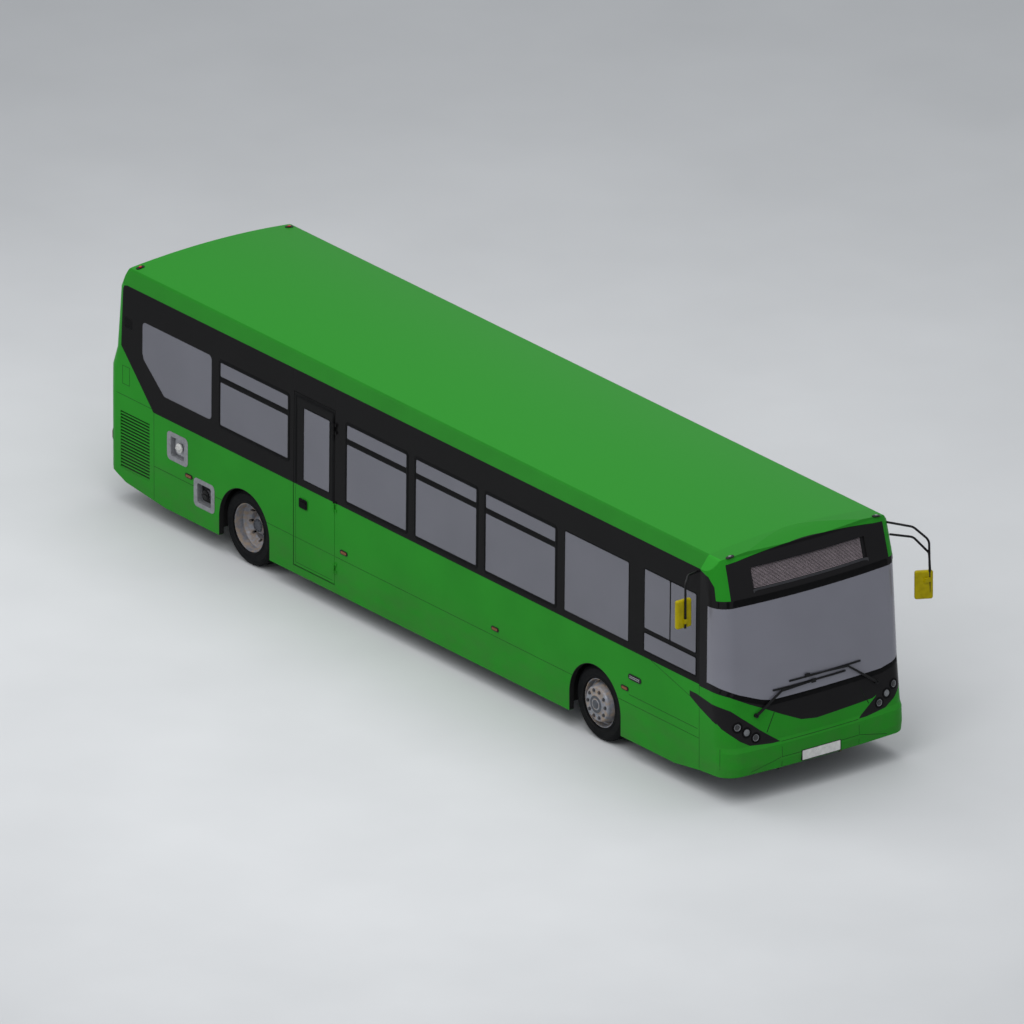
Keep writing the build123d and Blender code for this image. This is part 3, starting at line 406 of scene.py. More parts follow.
class Palette:
    """Every finish used on the bus, made once."""

    def __init__(self) -> None:
        """Makes the materials."""
        green: Colour = (0.0198, 0.2356, 0.0176)
        # The roof's green is the body green made darker against the strong top light: painted shade.
        roof_shaded_green: Colour = (0.0201, 0.2054, 0.018)
        finishes = (
            Paint("coach_green", green),
            # Below the cove head the roof takes the body green at 0.66: painted shade on the sloping
            # cove.
            Paint("roof_green_painted_shade", shade(green, 0.66), film=0.0, above=roof_shaded_green, split=COVE_HEAD),
            # A lighter copy of the side band black, painted light for the nose's black parts and the
            # entrance leaves.
            Paint("band_black_painted_light", (0.0135, 0.013, 0.0138), film=0.12, roughness=0.22),
            Paint("side_band_black", BAND, film=0.12, roughness=0.22),
            Paint("door_two_tone", green, above=BAND),
            # The dome's black arch is its paint; above the cove head it takes the roof green at 0.92,
            # painted shade on its lit slope.
            Paint("dome_arch_and_painted_shade", green, above=shade(roof_shaded_green, 0.92), split=COVE_HEAD,
                  arch=(1.080, 2.829, 0.085)),
            # The louvre's slats darken towards black with depth: painted shade between the slats.
            Paint("louvre_green_painted_shade", green, painted_shade_depth=(-1.247, -1.235)),
            Glazing("tinted_glass", (0.135, 0.135, 0.162)),
            Glazing("screen_glass", (0.207, 0.207, 0.244)),
            Moulding("interior_grey", (0.40, 0.41, 0.43), 0.5),
            Moulding("dash_black", (0.03, 0.03, 0.033), 0.55, 0.3),
            Moulding("trim_black", (0.008, 0.008, 0.0085), 0.42, sheen=0.15),
            Moulding("gap_shadow", (0.004, 0.010, 0.004), 0.9, 0.02),
            Moulding("underseal", (0.012, 0.012, 0.012), 0.85, 0.6, 160.0, 0.1),
            Moulding("seat_shell_grey", (0.07, 0.08, 0.09), 0.4),
            Moulding("plate_white", (0.62, 0.62, 0.60), 0.35, 0.05),
            Moulding("plate_yellow", (0.60, 0.42, 0.03), 0.35, 0.05),
            Moulding("cap_white", (0.55, 0.55, 0.53), 0.4),
            Moulding("mirror_yellow", (0.345, 0.280, 0.002), 0.38, sheen=0.1),
            Moquette("seat_moquette", (0.02, 0.05, 0.09), (0.05, 0.13, 0.08)),
            Flooring("floor_vinyl", (0.05, 0.055, 0.065), (0.3, 0.3, 0.3)),
            Metal("chassis_black", (0.03, 0.03, 0.032), 0.2, 0.6, 0.25),
            Metal("engine_iron", (0.09, 0.09, 0.09), 0.6, 0.65, 0.3),
            Metal("wheel_steel", (0.255, 0.265, 0.30), 0.35, 0.40, 0.80, (0.33, 0.25, 0.18)),
            Metal("nut_steel", (0.09, 0.09, 0.095), 0.6, 0.42, 0.25),
            Metal("hub_grey", (0.075, 0.080, 0.095), 0.4, 0.40),
            Metal("bright_steel", (0.62, 0.63, 0.65), 1.0, 0.28),
            Metal("silver_frame", (0.24, 0.245, 0.26), 0.35, 0.45),
            Metal("rail_yellow", (0.55, 0.36, 0.02), 0.0, 0.35),
            Rubber("tyre_rubber", (0.0042, 0.0048, 0.0055)),
            Rubber("seal_rubber", (0.002, 0.002, 0.0025), 0.02),
            Moulding("sill_grey", (0.030, 0.030, 0.034), 0.5, 0.05),
            Moulding("display_dots", (0.39, 0.325, 0.350), 0.5, 0.05),
            Lens("lamp_clear", (0.42, 0.43, 0.45)),
            Lens("lamp_grey", (0.16, 0.165, 0.175)),
            Lens("lamp_dark", (0.035, 0.036, 0.038)),
            Lens("lamp_amber", (0.17, 0.045, 0.002)),
            Lens("lamp_red", (0.33, 0.008, 0.008)),
            # The mirror glass is a pale silver lens colour, a painted reflection.
            Lens("mirror_painted_reflection", (0.7, 0.72, 0.75), 1.0),
        )
        self.made = {finish.name: finish.make() for finish in finishes}

    def __getitem__(self, name: str) -> bpy.types.Material:
        """The material of that name."""
        return self.made[name]


FINISHED = {
    "tyre_rubber": (
        "air_springs", "front_tyre_right", "front_tyre_left", "rear_tyres_right", "rear_tyres_left",
    ),
    "interior_grey": ("cab_partition",),
    "chassis_black": (
        "chassis_frame", "front_axle", "fuel_tank", "rear_axle", "track_rod", "knuckle_right",
        "knuckle_left",
    ),
    "dash_black": ("dashboard", "steering_wheel"),
    "band_black_painted_light": (
        "destination_display", "entrance_leaf_front", "entrance_leaf_rear", "lamp_clusters",
        "windscreen_surround",
    ),
    "door_two_tone": ("door_frames", "emergency_door", "hinge_barrels"),
    "seat_shell_grey": ("driver_seat", "seat_shells"),
    "tinted_glass": ("emergency_door_glass", "entrance_glass_front", "entrance_glass_rear", "glazing"),
    "engine_iron": ("engine_block",),
    "coach_green": ("engine_lid", "front_panel", "rear_panel", "side_panels"),
    "bright_steel": ("entrance_arm_front", "entrance_arm_rear"),
    "silver_frame": ("filler_pockets",),
    "dome_arch_and_painted_shade": ("front_dome",),
    "rail_yellow": ("grab_rails",),
    "lamp_dark": ("headlamps",),
    "louvre_green_painted_shade": ("louvre_panel",),
    "floor_vinyl": ("low_floor", "rear_floor"),
    "trim_black": ("mirror_arms", "wipers"),
    "mirror_yellow": ("mirror_heads",),
    "roof_green_painted_shade": ("roof_shell",),
    "lamp_red": ("tail_lamps",),
    "underseal": ("wheel_boxes",),
    "side_band_black": ("window_bands",),
    "screen_glass": ("windscreen",),
    "seat_moquette": ("seat_pads",),
    "wheel_steel": ("front_wheel_right", "front_wheel_left", "rear_wheels_right", "rear_wheels_left"),
}


def dress_nodes(palette: Palette) -> None:
    """Gives every CAD node its finish.

    Args:
        palette: the materials.
    """
    for finish, names in FINISHED.items():
        for name in names:
            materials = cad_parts[name].data.materials
            materials.clear()
            materials.append(palette[finish])


# ------------------------------------------------------------------ mesh builder


class Shape:
    """Collects closed mesh parts in the shared frame and turns them into one piece."""

    # A ribbon's depth in the surface, and its top's share of its width
    SUNK = 0.0005
    CROWN = 0.7
    # The least angle in radians of an edge that is rounded, and how full the round is
    SHARP = 0.6
    ROUND = 0.7

    def __init__(self) -> None:
        """Starts empty."""
        self.mesh = bmesh.new()

    def _bevel(self, faces: Iterable[bmesh.types.BMFace], width: float) -> None:
        """Rounds the sharp edges of new faces.

        Args:
            faces: the new faces.
            width: the radius.
        """
        edges = {edge for face in faces for edge in face.edges if edge.calc_face_angle(0.0) > self.SHARP}
        bmesh.ops.bevel(
            self.mesh, geom=list(edges), offset=width, segments=2, affect="EDGES", profile=self.ROUND,
        )

    def _close(self, rings: Sequence[Sequence[bmesh.types.BMVert]]) -> "Shape":
        """Joins rings of vertices one to the next, and closes both ends.

        Args:
            rings: equal rings, in order.

        Returns:
            The shape.
        """
        for a, b in zip(rings, rings[1:]):
            for s in range(len(a)):
                t = (s + 1) % len(a)
                self.mesh.faces.new((a[s], a[t], b[t], b[s]))
        self.mesh.faces.new(rings[0][::-1])
        self.mesh.faces.new(rings[-1])
        return self

    def prism(self, outline: Sequence[Flat], place: Matrix, depth: float, bevel: float = 0.0) -> "Shape":
        """Extrudes a flat outline along the place's Z axis.

        Args:
            outline: the points in the place's XY plane.
            place: where the outline lies.
            depth: how far it is extruded.
            bevel: radius on its edges.

        Returns:
            The shape.
        """
        low = [self.mesh.verts.new(place @ Vector((x, y, 0))) for x, y in outline]
        high = [self.mesh.verts.new(place @ Vector((x, y, depth))) for x, y in outline]
        count = len(outline)
        faces = [self.mesh.faces.new(low[::-1]), self.mesh.faces.new(high)]
        for i in range(count):
            j = (i + 1) % count
            faces.append(self.mesh.faces.new((low[i], low[j], high[j], high[i])))
        if bevel > 0:
            self._bevel(faces, bevel)
        return self

    def box(self, centre: Point, size: Point, bevel: float = 0.0) -> "Shape":
        """A box about a centre.

        Args:
            centre: its centre.
            size: its sides.
            bevel: radius on its edges.

        Returns:
            The shape.
        """
        x, y, z = (s / 2 for s in size)
        place = Matrix.Translation(centre) @ Matrix.Translation((0, 0, -z))
        return self.prism(((-x, -y), (x, -y), (x, y), (-x, y)), place, 2 * z, bevel)

    def button(self, place: Matrix, radius: float, height: float, segments: int, lip: float = 0.001,
               crown: float = 0.001) -> "Shape":
        """A low round knob with a rounded face.

        Args:
            place: its foot, with Z outwards.
            radius: at the foot.
            height: over all.
            segments: steps round it.
            lip: how much narrower the face is.
            crown: how far the face rises to its centre.

        Returns:
            The shape.
        """
        profile = ((0, 0), (radius, 0), (radius - lip, height - crown), (0, height))
        return self.lathe(profile, place, segments, False)

    def lathe(self, profile: Sequence[Flat], place: Matrix, segments: int = 48, closed: bool = True,
              shift: Optional[Callable[[int, int], float]] = None) -> "Shape":
        """Turns a profile of (radius, height) points about the place's Z axis.

        Args:
            profile: the points, in order.
            place: the axis and origin.
            segments: steps round the axis.
            closed: True joins the last point to the first.
            shift: change of radius by profile index and step.

        Returns:
            The shape.
        """
        rings = []
        for i, (radius, height) in enumerate(profile):
            if radius < 1e-6:
                rings.append([self.mesh.verts.new(place @ Vector((0, 0, height)))] * segments)
                continue
            ring = []
            for s in range(segments):
                angle = 2 * math.pi * s / segments
                r = radius + (shift(i, s) if shift else 0.0)
                point = Vector((r * math.cos(angle), r * math.sin(angle), height))
                ring.append(self.mesh.verts.new(place @ point))
            rings.append(ring)
        pairs = list(zip(rings, rings[1:]))
        if closed:
            pairs.append((rings[-1], rings[0]))
        for a, b in pairs:
            for s in range(segments):
                t = (s + 1) % segments
                corners = []
                for vert in (a[s], a[t], b[t], b[s]):
                    if vert not in corners:
                        corners.append(vert)
                if len(corners) > 2:
                    self.mesh.faces.new(corners)
        return self

    def tube(self, points: Sequence[Vector], radius: float, sides: int = 10) -> "Shape":
        """A round tube along points, with closed ends.

        Args:
            points: the centre line.
            radius: the tube's radius.
            sides: facets round it.

        Returns:
            The shape.
        """
        rings = []
        normal = Vector((0, 0, 1))
        for i, point in enumerate(points):
            ahead = points[min(i + 1, len(points) - 1)] - points[max(i - 1, 0)]
            ahead.normalize()
            across = ahead.cross(normal)
            if across.length < 1e-3:
                across = ahead.cross(Vector((0, 1, 0)))
            across.normalize()
            up = across.cross(ahead).normalized()
            ring = []
            for s in range(sides):
                angle = 2 * math.pi * s / sides
                spoke = math.cos(angle) * across + math.sin(angle) * up
                ring.append(self.mesh.verts.new(point + radius * spoke))
            rings.append(ring)
        return self._close(rings)

    def ribbon(self, line: Sequence[Spot], width: float, thick: float) -> "Shape":
        """A thin closed strip that lies on a surface.

        Args:
            line: points on the surface with the outward normal at each.
            width: the strip's width.
            thick: how far it stands out.

        Returns:
            The shape.
        """
        rings = []
        for i, (point, normal) in enumerate(line):
            ahead = line[min(i + 1, len(line) - 1)][0] - line[max(i - 1, 0)][0]
            across = ahead.cross(normal).normalized() * (width / 2)
            section = ((-1, -self.SUNK), (1, -self.SUNK), (self.CROWN, thick), (-self.CROWN, thick))
            rings.append([
                self.mesh.verts.new(point + side * across + lift * normal) for side, lift in section
            ])
        return self._close(rings)

    def piece(self, name: str, finish: bpy.types.Material, slot: str, body: str = Body.ROOT.value,
              smooth: float = 35.0) -> bpy.types.Object:
        """Turns what was collected into an object that rides on a body.

        Args:
            name: the piece's name.
            finish: its material.
            slot: not used.
            body: the body it rides on.
            smooth: edges flatter than this many degrees shade smooth.

        Returns:
            The object.
        """
        bmesh.ops.recalc_face_normals(self.mesh, faces=self.mesh.faces)
        data = bpy.data.meshes.new(name)
        self.mesh.to_mesh(data)
        self.mesh.free()
        piece = bpy.data.objects.new(name, data)
        bpy.context.scene.collection.objects.link(piece)
        data.shade_smooth()
        data.set_sharp_from_angle(angle=math.radians(smooth))
        data.materials.append(finish)
        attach(piece, body)
        LOG.info("%s: %d faces on %s", name, len(data.polygons), body)
        return piece


class Skin:
    """The outside of the body, for placing trim on it."""

    def __init__(self, nodes: Sequence[str]) -> None:
        """Collects the nodes' faces.

        Args:
            nodes: names of the outer panels.
        """
        verts, faces = [], []
        for name in nodes:
            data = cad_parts[name].data
            start = len(verts)
            verts += [v.co.copy() for v in data.vertices]
            faces += [[start + i for i in poly.vertices] for poly in data.polygons]
        self.tree = BVHTree.FromPolygons(verts, faces)

    def hit(self, start: Point, towards: Point) -> Spot:
        """Where a line from outside meets the skin.

        Args:
            start: a point outside.
            towards: the direction.

        Returns:
            The point and the outward normal.
        """
        direction = Vector(towards).normalized()
        point, normal, _, _ = self.tree.ray_cast(Vector(start), direction)
        if point is None:
            raise ValueError(f"no skin from {start} towards {towards}")
        if normal.dot(direction) > 0:
            normal = -normal
        return point, normal

    def nose(self, y: float, z: float) -> Spot:
        """The skin ahead at (y, z)."""
        return self.hit((7.0, y, z), (-1, 0, 0))

    def flank(self, x: float, z: float, sign: int) -> Spot:
        """The skin of one side at (x, z)."""
        return self.hit((x, sign * 3.0, z), (0, -sign, 0))

    def along(self, path: Sequence[Flat], sign: int, step: float = 0.06) -> List[Spot]:
        """The skin of one side along a path.

        Args:
            path: its corners (x, z).
            sign: the side.
            step: the largest gap between points.

        Returns:
            Points with their outward normals.
        """
        return [self.flank(x, z, sign) for x, z in between(path, step)]

    def ahead(self, path: Sequence[Flat], step: float = 0.06, sign: int = 1) -> List[Spot]:
        """The skin ahead along a path.

        Args:
            path: its corners (y, z).
            step: the largest gap between points.
            sign: -1 mirrors the path.

        Returns:
            Points with their outward normals.
        """
        return [self.nose(sign * y, z) for y, z in between(path, step)]

    def tail(self, y: float, z: float) -> Spot:
        """The skin behind at (y, z)."""
        return self.hit((-7.0, y, z), (1, 0, 0))


def facing(point: Vector, normal: Vector, up: Point = (0, 0, 1)) -> Matrix:
    """A place on a surface, with Z outwards and Y upwards.

    Args:
        point: the origin.
        normal: the outward normal.
        up: roughly up.

    Returns:
        The matrix.
    """
    z = normal.normalized()
    x = Vector(up).cross(z).normalized()
    y = z.cross(x)
    turn = Matrix((x, y, z)).transposed().to_4x4()
    return Matrix.Translation(point) @ turn


def shifted(place: Matrix, x: float, y: float, z: float) -> Matrix:
    """The place moved along its own axes."""
    return place @ Matrix.Translation((x, y, z))


def ring(place: Matrix, count: int, radius: float, height: float) -> List[Matrix]:
    """Places spread evenly round a place's Z axis.

    Args:
        place: the axis and origin.
        count: how many.
        radius: their distance from the axis.
        height: their distance along it.

    Returns:
        The places, each with X away from the axis.
    """
    turns = (Matrix.Rotation(2 * math.pi * i / count, 4, "Z") for i in range(count))
    return [shifted(place @ turn, radius, 0, height) for turn in turns]


def rounded(width: float, height: float, radius: float, steps: int = 4) -> List[Flat]:
    """Outline of a rounded rectangle about the origin.

    Args:
        width: along X.
        height: along Y.
        radius: of its corners.
        steps: points a corner.

    Returns:
        The points, anticlockwise.
    """
    points = []
    for cx, cy, start in ((1, 1, 0), (-1, 1, 90), (-1, -1, 180), (1, -1, 270)):
        for i in range(steps + 1):
            angle = math.radians(start + 90 * i / steps)
            points.append((
                cx * (width / 2 - radius) + radius * math.cos(angle),
                cy * (height / 2 - radius) + radius * math.sin(angle),
            ))
    return points


def between(path: Sequence[Flat], step: float) -> List[Flat]:
    """Points along a path, no further apart than step.

    Args:
        path: its corners.
        step: the largest gap.

    Returns:
        The points, the corners among them.
    """
    points = [path[0]]
    for start, end in zip(path, path[1:]):
        count = max(1, math.ceil(math.dist(start, end) / step))
        for i in range(1, count + 1):
            points.append(tuple(a + (b - a) * i / count for a, b in zip(start, end)))
    return points


def hexagon(radius: float) -> List[Flat]:
    """Outline of a hexagon about the origin."""
    return [(radius * math.cos(math.pi * i / 3), radius * math.sin(math.pi * i / 3)) for i in range(6)]


# ------------------------------------------------------------------ wheels


def wheel_place(axle: float, sign: int) -> Matrix:
    """A place at the wheel's centre line on the middle of the bus, with Z outboard."""
    turn = Matrix.Rotation(math.radians(-90 * sign), 4, "X")
    return Matrix.Translation((axle, 0, AXLE_HEIGHT)) @ turn


@dataclass
class Tyres:
    """The tyres, with grooves, shoulder blocks and sidewall rings."""

    segments: int = 144
    groove: float = 0.011
    crown: float = 0.0005
    draft: float = 0.002
    ribs: Path = ((0.048, 0.076), (0.088, 0.112), (0.124, 0.151), (0.163, 0.187), (0.199, 0.227))
    wall: Path = (
        (0.286, 0.004), (0.294, 0.0), (0.312, 0.0015), (0.322, 0.006), (0.330, 0.0055), (0.360, 0.002),
        (0.392, 0.005), (0.396, 0.009), (0.410, 0.016), (0.424, 0.026), (0.434, 0.040),
    )
    shoulder: float = 0.078
    block_pitch: int = 3

    def profile(self) -> List[Flat]:
        """Works out the section.

        Returns:
            Points (radius, height), from the inner bead to the outer one.
        """
        deep, top = TYRE_RADIUS - self.groove, TYRE_RADIUS - self.crown
        tread = []
        for low, high in self.ribs:
            tread += [(deep, low - self.draft), (top, low), (top, high), (deep, high + self.draft)]
        return [*self.wall, *tread[1:-1], *((r, TYRE_WIDTH - h) for r, h in reversed(self.wall))]

    def add(self, shape: Shape, place: Matrix, inner: float) -> None:
        """Adds one tyre.

        Args:
            shape: collects it.
            place: the wheel's place.
            inner: its inboard face, from the middle of the bus.
        """
        profile = self.profile()
        moved = [(r, inner + h) for r, h in profile]

        def shift(index: int, step: int) -> float:
            """Cuts notches between the shoulder blocks.

            Args:
                index: which point of the profile.
                step: which step round the tyre.

            Returns:
                The change of radius.
            """
            radius, height = profile[index]
            on_block = radius > 0.43 and min(height, TYRE_WIDTH - height) < self.shoulder
            if on_block and step % self.block_pitch == 0:
                return -0.009 if radius > 0.437 else -0.005
            return 0.0

        shape.lathe(moved, place, self.segments, True, shift)

    def build(self, palette: Palette) -> None:
        """Builds the tyres of all four corners in place of the plain rings.

        Args:
            palette: the materials.
        """
        for side, sign in SIDES.items():
            for axle, inner, node, body in (
                (AXLE_FRONT, (TYRE_INNER,), f"front_tyre_{side}", f"wheel_front_{side}"),
                (AXLE_REAR, TWINS, f"rear_tyres_{side}", f"wheels_rear_{side}"),
            ):
                shape = Shape()
                for face in inner:
                    self.add(shape, wheel_place(axle, sign), face)
                tyre = shape.piece(f"treaded_{node}", palette["tyre_rubber"], "tyre", body, 25)
                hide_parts(node)


@dataclass(frozen=True)
class Fixing:
    """What holds a wheel on its hub.

    circle, seat and nut are the nuts' ring, its distance outboard and their height. caps are the
    profiles of the hub cap's turned parts, with the steps round each, and bolt is the radius and
    height of the bolts on it.
    """

    name: str
    axle: float
    body: str
    circle: float
    seat: float
    nut: float
    caps: Tuple[Path, ...]
    steps: Tuple[int, ...]
    bolts: int
    bolt_circle: float
    bolt_seat: float
    bolt: Flat


FIXINGS = (
    Fixing(
        name="front", axle=AXLE_FRONT, body="wheel_front", circle=0.158, seat=1.226, nut=0.012,
        caps=(((0, 1.2385), (0.100, 1.2385), (0.099, 1.2405), (0.053, 1.2410), (0, 1.2410)),
              ((0, 1.240), (0.052, 1.240), (0.050, 1.245), (0.036, 1.2475), (0, 1.248))),
        steps=(48, 40), bolts=8, bolt_circle=0.076, bolt_seat=1.239, bolt=(0.006, 0.005),
    ),
    Fixing(
        name="rear", axle=AXLE_REAR, body="wheels_rear", circle=0.155, seat=0.928, nut=0.018,
        caps=(((0, 1.054), (0.078, 1.054), (0.074, 1.064), (0.030, 1.070), (0, 1.071)),),
        steps=(36,), bolts=10, bolt_circle=0.062, bolt_seat=1.066, bolt=(0.008, 0.008),
    ),
)


@dataclass
class WheelTrim:
    """Wheel nuts on their washers, and the hub caps with their bolts."""

    nuts: int = 10
    nut_radius: float = 0.018
    washer: Flat = (0.022, 0.002)
    stud: Path = ((0, 0), (0.010, 0), (0.009, 0.005), (0, 0.006))

    def nut_ring(self, shape: Shape, place: Matrix, fixing: Fixing) -> None:
        """Adds a ring of nuts on washers, each with its stud end.

        Args:
            shape: collects them.
            place: the wheel's place.
            fixing: where the nuts are.
        """
        radius, thick = self.washer
        stud = [(r, fixing.nut + height) for r, height in self.stud]
        for seat in ring(place, self.nuts, fixing.circle, fixing.seat):
            shape.lathe(((0, 0), (radius, 0), (radius, thick), (0, thick)), seat, 16, False)
            shape.prism(hexagon(self.nut_radius), shifted(seat, 0, 0, thick), fixing.nut, 0.002)
            shape.lathe(stud, seat, 12, False)

    def build(self, palette: Palette) -> None:
        """Builds the trim of all wheels.

        Args:
            palette: the materials.
        """
        for side, sign in SIDES.items():
            for fixing in FIXINGS:
                place = wheel_place(fixing.axle, sign)
                body = f"{fixing.body}_{side}"
                nuts, cap = Shape(), Shape()
                self.nut_ring(nuts, place, fixing)
                nuts.piece(f"{fixing.name}_nuts_{side}", palette["nut_steel"], "wheel_steel", body)
                for profile, steps in zip(fixing.caps, fixing.steps):
                    cap.lathe(profile, place, steps, False)
                for seat in ring(place, fixing.bolts, fixing.bolt_circle, fixing.bolt_seat):
                    cap.button(seat, *fixing.bolt, 10)
                cap.piece(f"{fixing.name}_hub_cap_{side}", palette["hub_grey"], "wheel_steel", body)


# ------------------------------------------------------------------ lines and lamps

OUTSIDE = (
    "side_panels", "window_bands", "door_frames", "glazing", "roof_shell", "rear_panel", "tail_lamps",
    "front_dome", "destination_display", "windscreen_surround", "windscreen", "front_panel",
    "lamp_clusters", "headlamps", "engine_lid", "emergency_door", "emergency_door_glass",
    "louvre_panel",
)


@dataclass
class Seams:
    """Joints between outer panels, drawn as fine shadow lines on the skin.

    both and door are (x, z) on the sides, cab is the offside only, and bumper and lamp_gap are
    (y, z) on the nose and are mirrored.
    """

    skin: Skin
    width: float = 0.006
    proud: float = 0.0006
    both: Tuple[Path, ...] = (
        ((-4.860, 0.260), (-4.860, 1.294)), ((-4.862, 1.330), (-5.560, 1.330)),
        ((-4.855, SWAGE), (-4.120, SWAGE)), ((-3.722, SWAGE), (-3.600, SWAGE)),
        ((-2.760, SWAGE), (-2.268, SWAGE)), ((-1.494, SWAGE), (2.860, SWAGE)),
        ((3.700, SWAGE), (3.950, SWAGE)),
        ((-5.448, 1.467), (-5.319, 1.467)), ((-5.319, 1.467), (-5.319, 1.682)),
        ((-5.319, 1.682), (-5.448, 1.682)), ((-5.448, 1.682), (-5.448, 1.467)),
    )
    cab: Tuple[Path, ...] = (
        ((5.177, 0.300), (5.177, 1.020)), ((5.177, 1.175), (5.177, 1.294)),
        ((4.304, 1.294), (5.000, 1.108)), ((3.950, SWAGE), (5.177, SWAGE)),
        ((3.899, 0.763), (5.149, 0.763)),
    )
    bumper: Tuple[Path, ...] = (
        ((0.530, 0.335), (0.530, 0.624)), ((0.935, 0.353), (0.540, 0.449)),
        ((0.0, 0.624), (0.530, 0.624)), ((0.0, 0.448), (0.530, 0.448)),
    )
    lamp_gap: Path = ((0.702, 0.760), (0.590, 0.966))
    corner: Tuple[float, ...] = (0.40, 0.5, 0.6, 0.64)
    door: Tuple[Path, ...] = (
        ((-2.2675, 0.3175), (-2.2675, 1.296)), ((-2.2675, 0.3175), (-1.497, 0.3175)),
    )

    def build(self, palette: Palette) -> None:
        """Builds the lines.

        Args:
            palette: the materials.
        """
        shape = Shape()
        for side, sign in SIDES.items():
            for path in self.both + (self.cab if side == "right" else ()):
                shape.ribbon(self.skin.along(path, sign), self.width, self.proud)
            for path in self.bumper:
                shape.ribbon(self.skin.ahead(path, sign=sign), self.width, self.proud)
            shape.ribbon(self.skin.ahead(self.lamp_gap, sign=sign), 2 * self.width, self.proud)
            corner = [self.skin.hit((6.3, sign * 2.0, z), (-0.8, -sign * 0.8, 0)) for z in self.corner]
            shape.ribbon(corner, self.width, self.proud)
        for path in self.door:
            shape.ribbon(self.skin.along(path, SIDES["right"]), 1.5 * self.width, self.proud)
        shape.piece("panel_joints", palette["gap_shadow"], "black_plastic")


@dataclass
class SmallLamps:
    """Side markers, repeaters and roof markers, each a lens in a black base."""

    skin: Skin
    markers: Path = ((-4.207, 0.747), (-1.330, 0.753), (1.455, 0.748), (3.826, 0.819))
    repeater_place: Dict[str, float] = field(default_factory=lambda: {"right": 4.010, "left": 3.800})
    repeater_height: float = 0.984
    repeater_size: Point = (0.232, 0.066, 0.010)
    pitch: Flat = (0.020, 0.009)
    side_size: Flat = (0.138, 0.052)
    roof: Path = ((5.405, 1.005), (-5.400, 1.030))
    roof_size: Flat = (0.105, 0.052)
    corner: Point = (-6.569, 2.085, 0.775)
    corner_size: Flat = (0.125, 0.050)

    @staticmethod
    def lamp(base: Shape, lens: Shape, place: Matrix, size: Flat, proud: float,
             share: float = 0.72) -> None:
        """Adds one lamp.

        Args:
            base: collects the black bases.
            lens: collects the lenses.
            place: on the skin, facing out.
            size: the base's width and height.
            proud: how far the lens stands out.
            share: the lens's part of the width.
        """
        sunk = shifted(place, 0, 0, -0.002)
        w, h = size
        base.prism(rounded(w, h, min(w, h) * 0.48, 6), sunk, 0.002 + proud * 0.5, 0.0015)
        lens.prism(rounded(w * share, h * 0.56, h * 0.27, 6), sunk, 0.002 + proud, 0.002)

    def repeater(self, base: Shape, dots: Shape, side: str, sign: int) -> None:
        """Adds the long repeater behind the door or cab, with two rows of lenses.

        Args:
            base: collects the black bases.
            dots: collects the lenses.
            side: right or left.
            sign: the side's sign.
        """
        place = facing(*self.skin.flank(self.repeater_place[side], self.repeater_height, sign))
        width, height, depth = self.repeater_size
        base.prism(rounded(width, height, 0.031, 8), shifted(place, 0, 0, -0.002), depth, 0.002)
        for column in range(-4, 5):
            for row in (-1, 1):
                spot = shifted(place, column * self.pitch[0], row * self.pitch[1], 0.0075)
                dots.button(spot, 0.0062, 0.004, 10, 0.0012)

    def build(self, palette: Palette) -> None:
        """Builds the lamps.

        Args:
            palette: the materials.
        """
        base, amber, clear, red, dots = (Shape() for _ in range(5))
        for side, sign in SIDES.items():
            for x, z in self.markers:
                self.lamp(base, amber, facing(*self.skin.flank(x, z, sign)), self.side_size, 0.011)
            self.repeater(base, dots, side, sign)
            for (x, y), lens in zip(self.roof, (clear, red)):
                place = facing(*self.skin.hit((x, sign * y, 4.0), (0, 0, -1)), up=(1, 0, 0))
                self.lamp(base, lens, place, self.roof_size, 0.018, 0.36)
            x, y, z = self.corner
            place = facing(*self.skin.hit((x, sign * y, z), (1, -sign, 0)))
            upright = place @ Matrix.Rotation(math.pi / 2, 4, "Z")
            self.lamp(base, amber, upright, self.corner_size, 0.009)
        base.piece("marker_bases", palette["trim_black"], "black_plastic")
        amber.piece("side_markers", palette["lamp_amber"], "lamp_glass")
        clear.piece("clear_markers", palette["lamp_grey"], "lamp_glass")
        dots.piece("repeater_lenses", palette["lamp_clear"], "lamp_glass")
        red.piece("roof_tail_markers", palette["lamp_red"], "lamp_red")


@dataclass
class Headlamps:
    """Bezels, reflector rings, projector lenses and one plain lens over each cluster's three bores."""

    skin: Skin
    centres: Path = ((0.851, 0.730), (0.964, 0.811), (1.076, 0.890))
    plain: int = 1
    bezel: Path = ((0.042, -0.004), (0.063, -0.004), (0.062, 0.003), (0.056, 0.006), (0.044, 0.006))
    lens: Path = (
        (0, -0.003), (0.038, -0.003), (0.037, 0.003), (0.026, 0.009), (0.012, 0.0115), (0, 0.012),
    )
    reflector: Path = ((0.037, -0.003), (0.039, 0.003), (0.035, 0.004), (0.027, -0.003))
    projector: Path = ((0, -0.003), (0.026, -0.003), (0.024, 0.002), (0.012, 0.0055), (0, 0.007))

    def build(self, palette: Palette) -> None:
        """Builds the lamps.

        Args:
            palette: the materials.
        """
        bezel, rim, lens, core = (Shape() for _ in range(4))
        for sign in SIDES.values():
            for index, (y, z) in enumerate(self.centres):
                place = facing(*self.skin.nose(sign * y, z))
                bezel.lathe(self.bezel, place, 40)
                if index == self.plain:
                    lens.lathe(self.lens, place, 36, False)
                else:
                    rim.lathe(self.reflector, place, 40)
                    core.lathe(self.projector, place, 28, False)
        bezel.piece("headlamp_bezels", palette["seal_rubber"], "black_plastic")
        rim.piece("headlamp_rings", palette["lamp_grey"], "lamp_glass")
        lens.piece("headlamp_lenses", palette["lamp_grey"], "lamp_glass")
        core.piece("projector_lenses", palette["lamp_dark"], "lamp_glass")


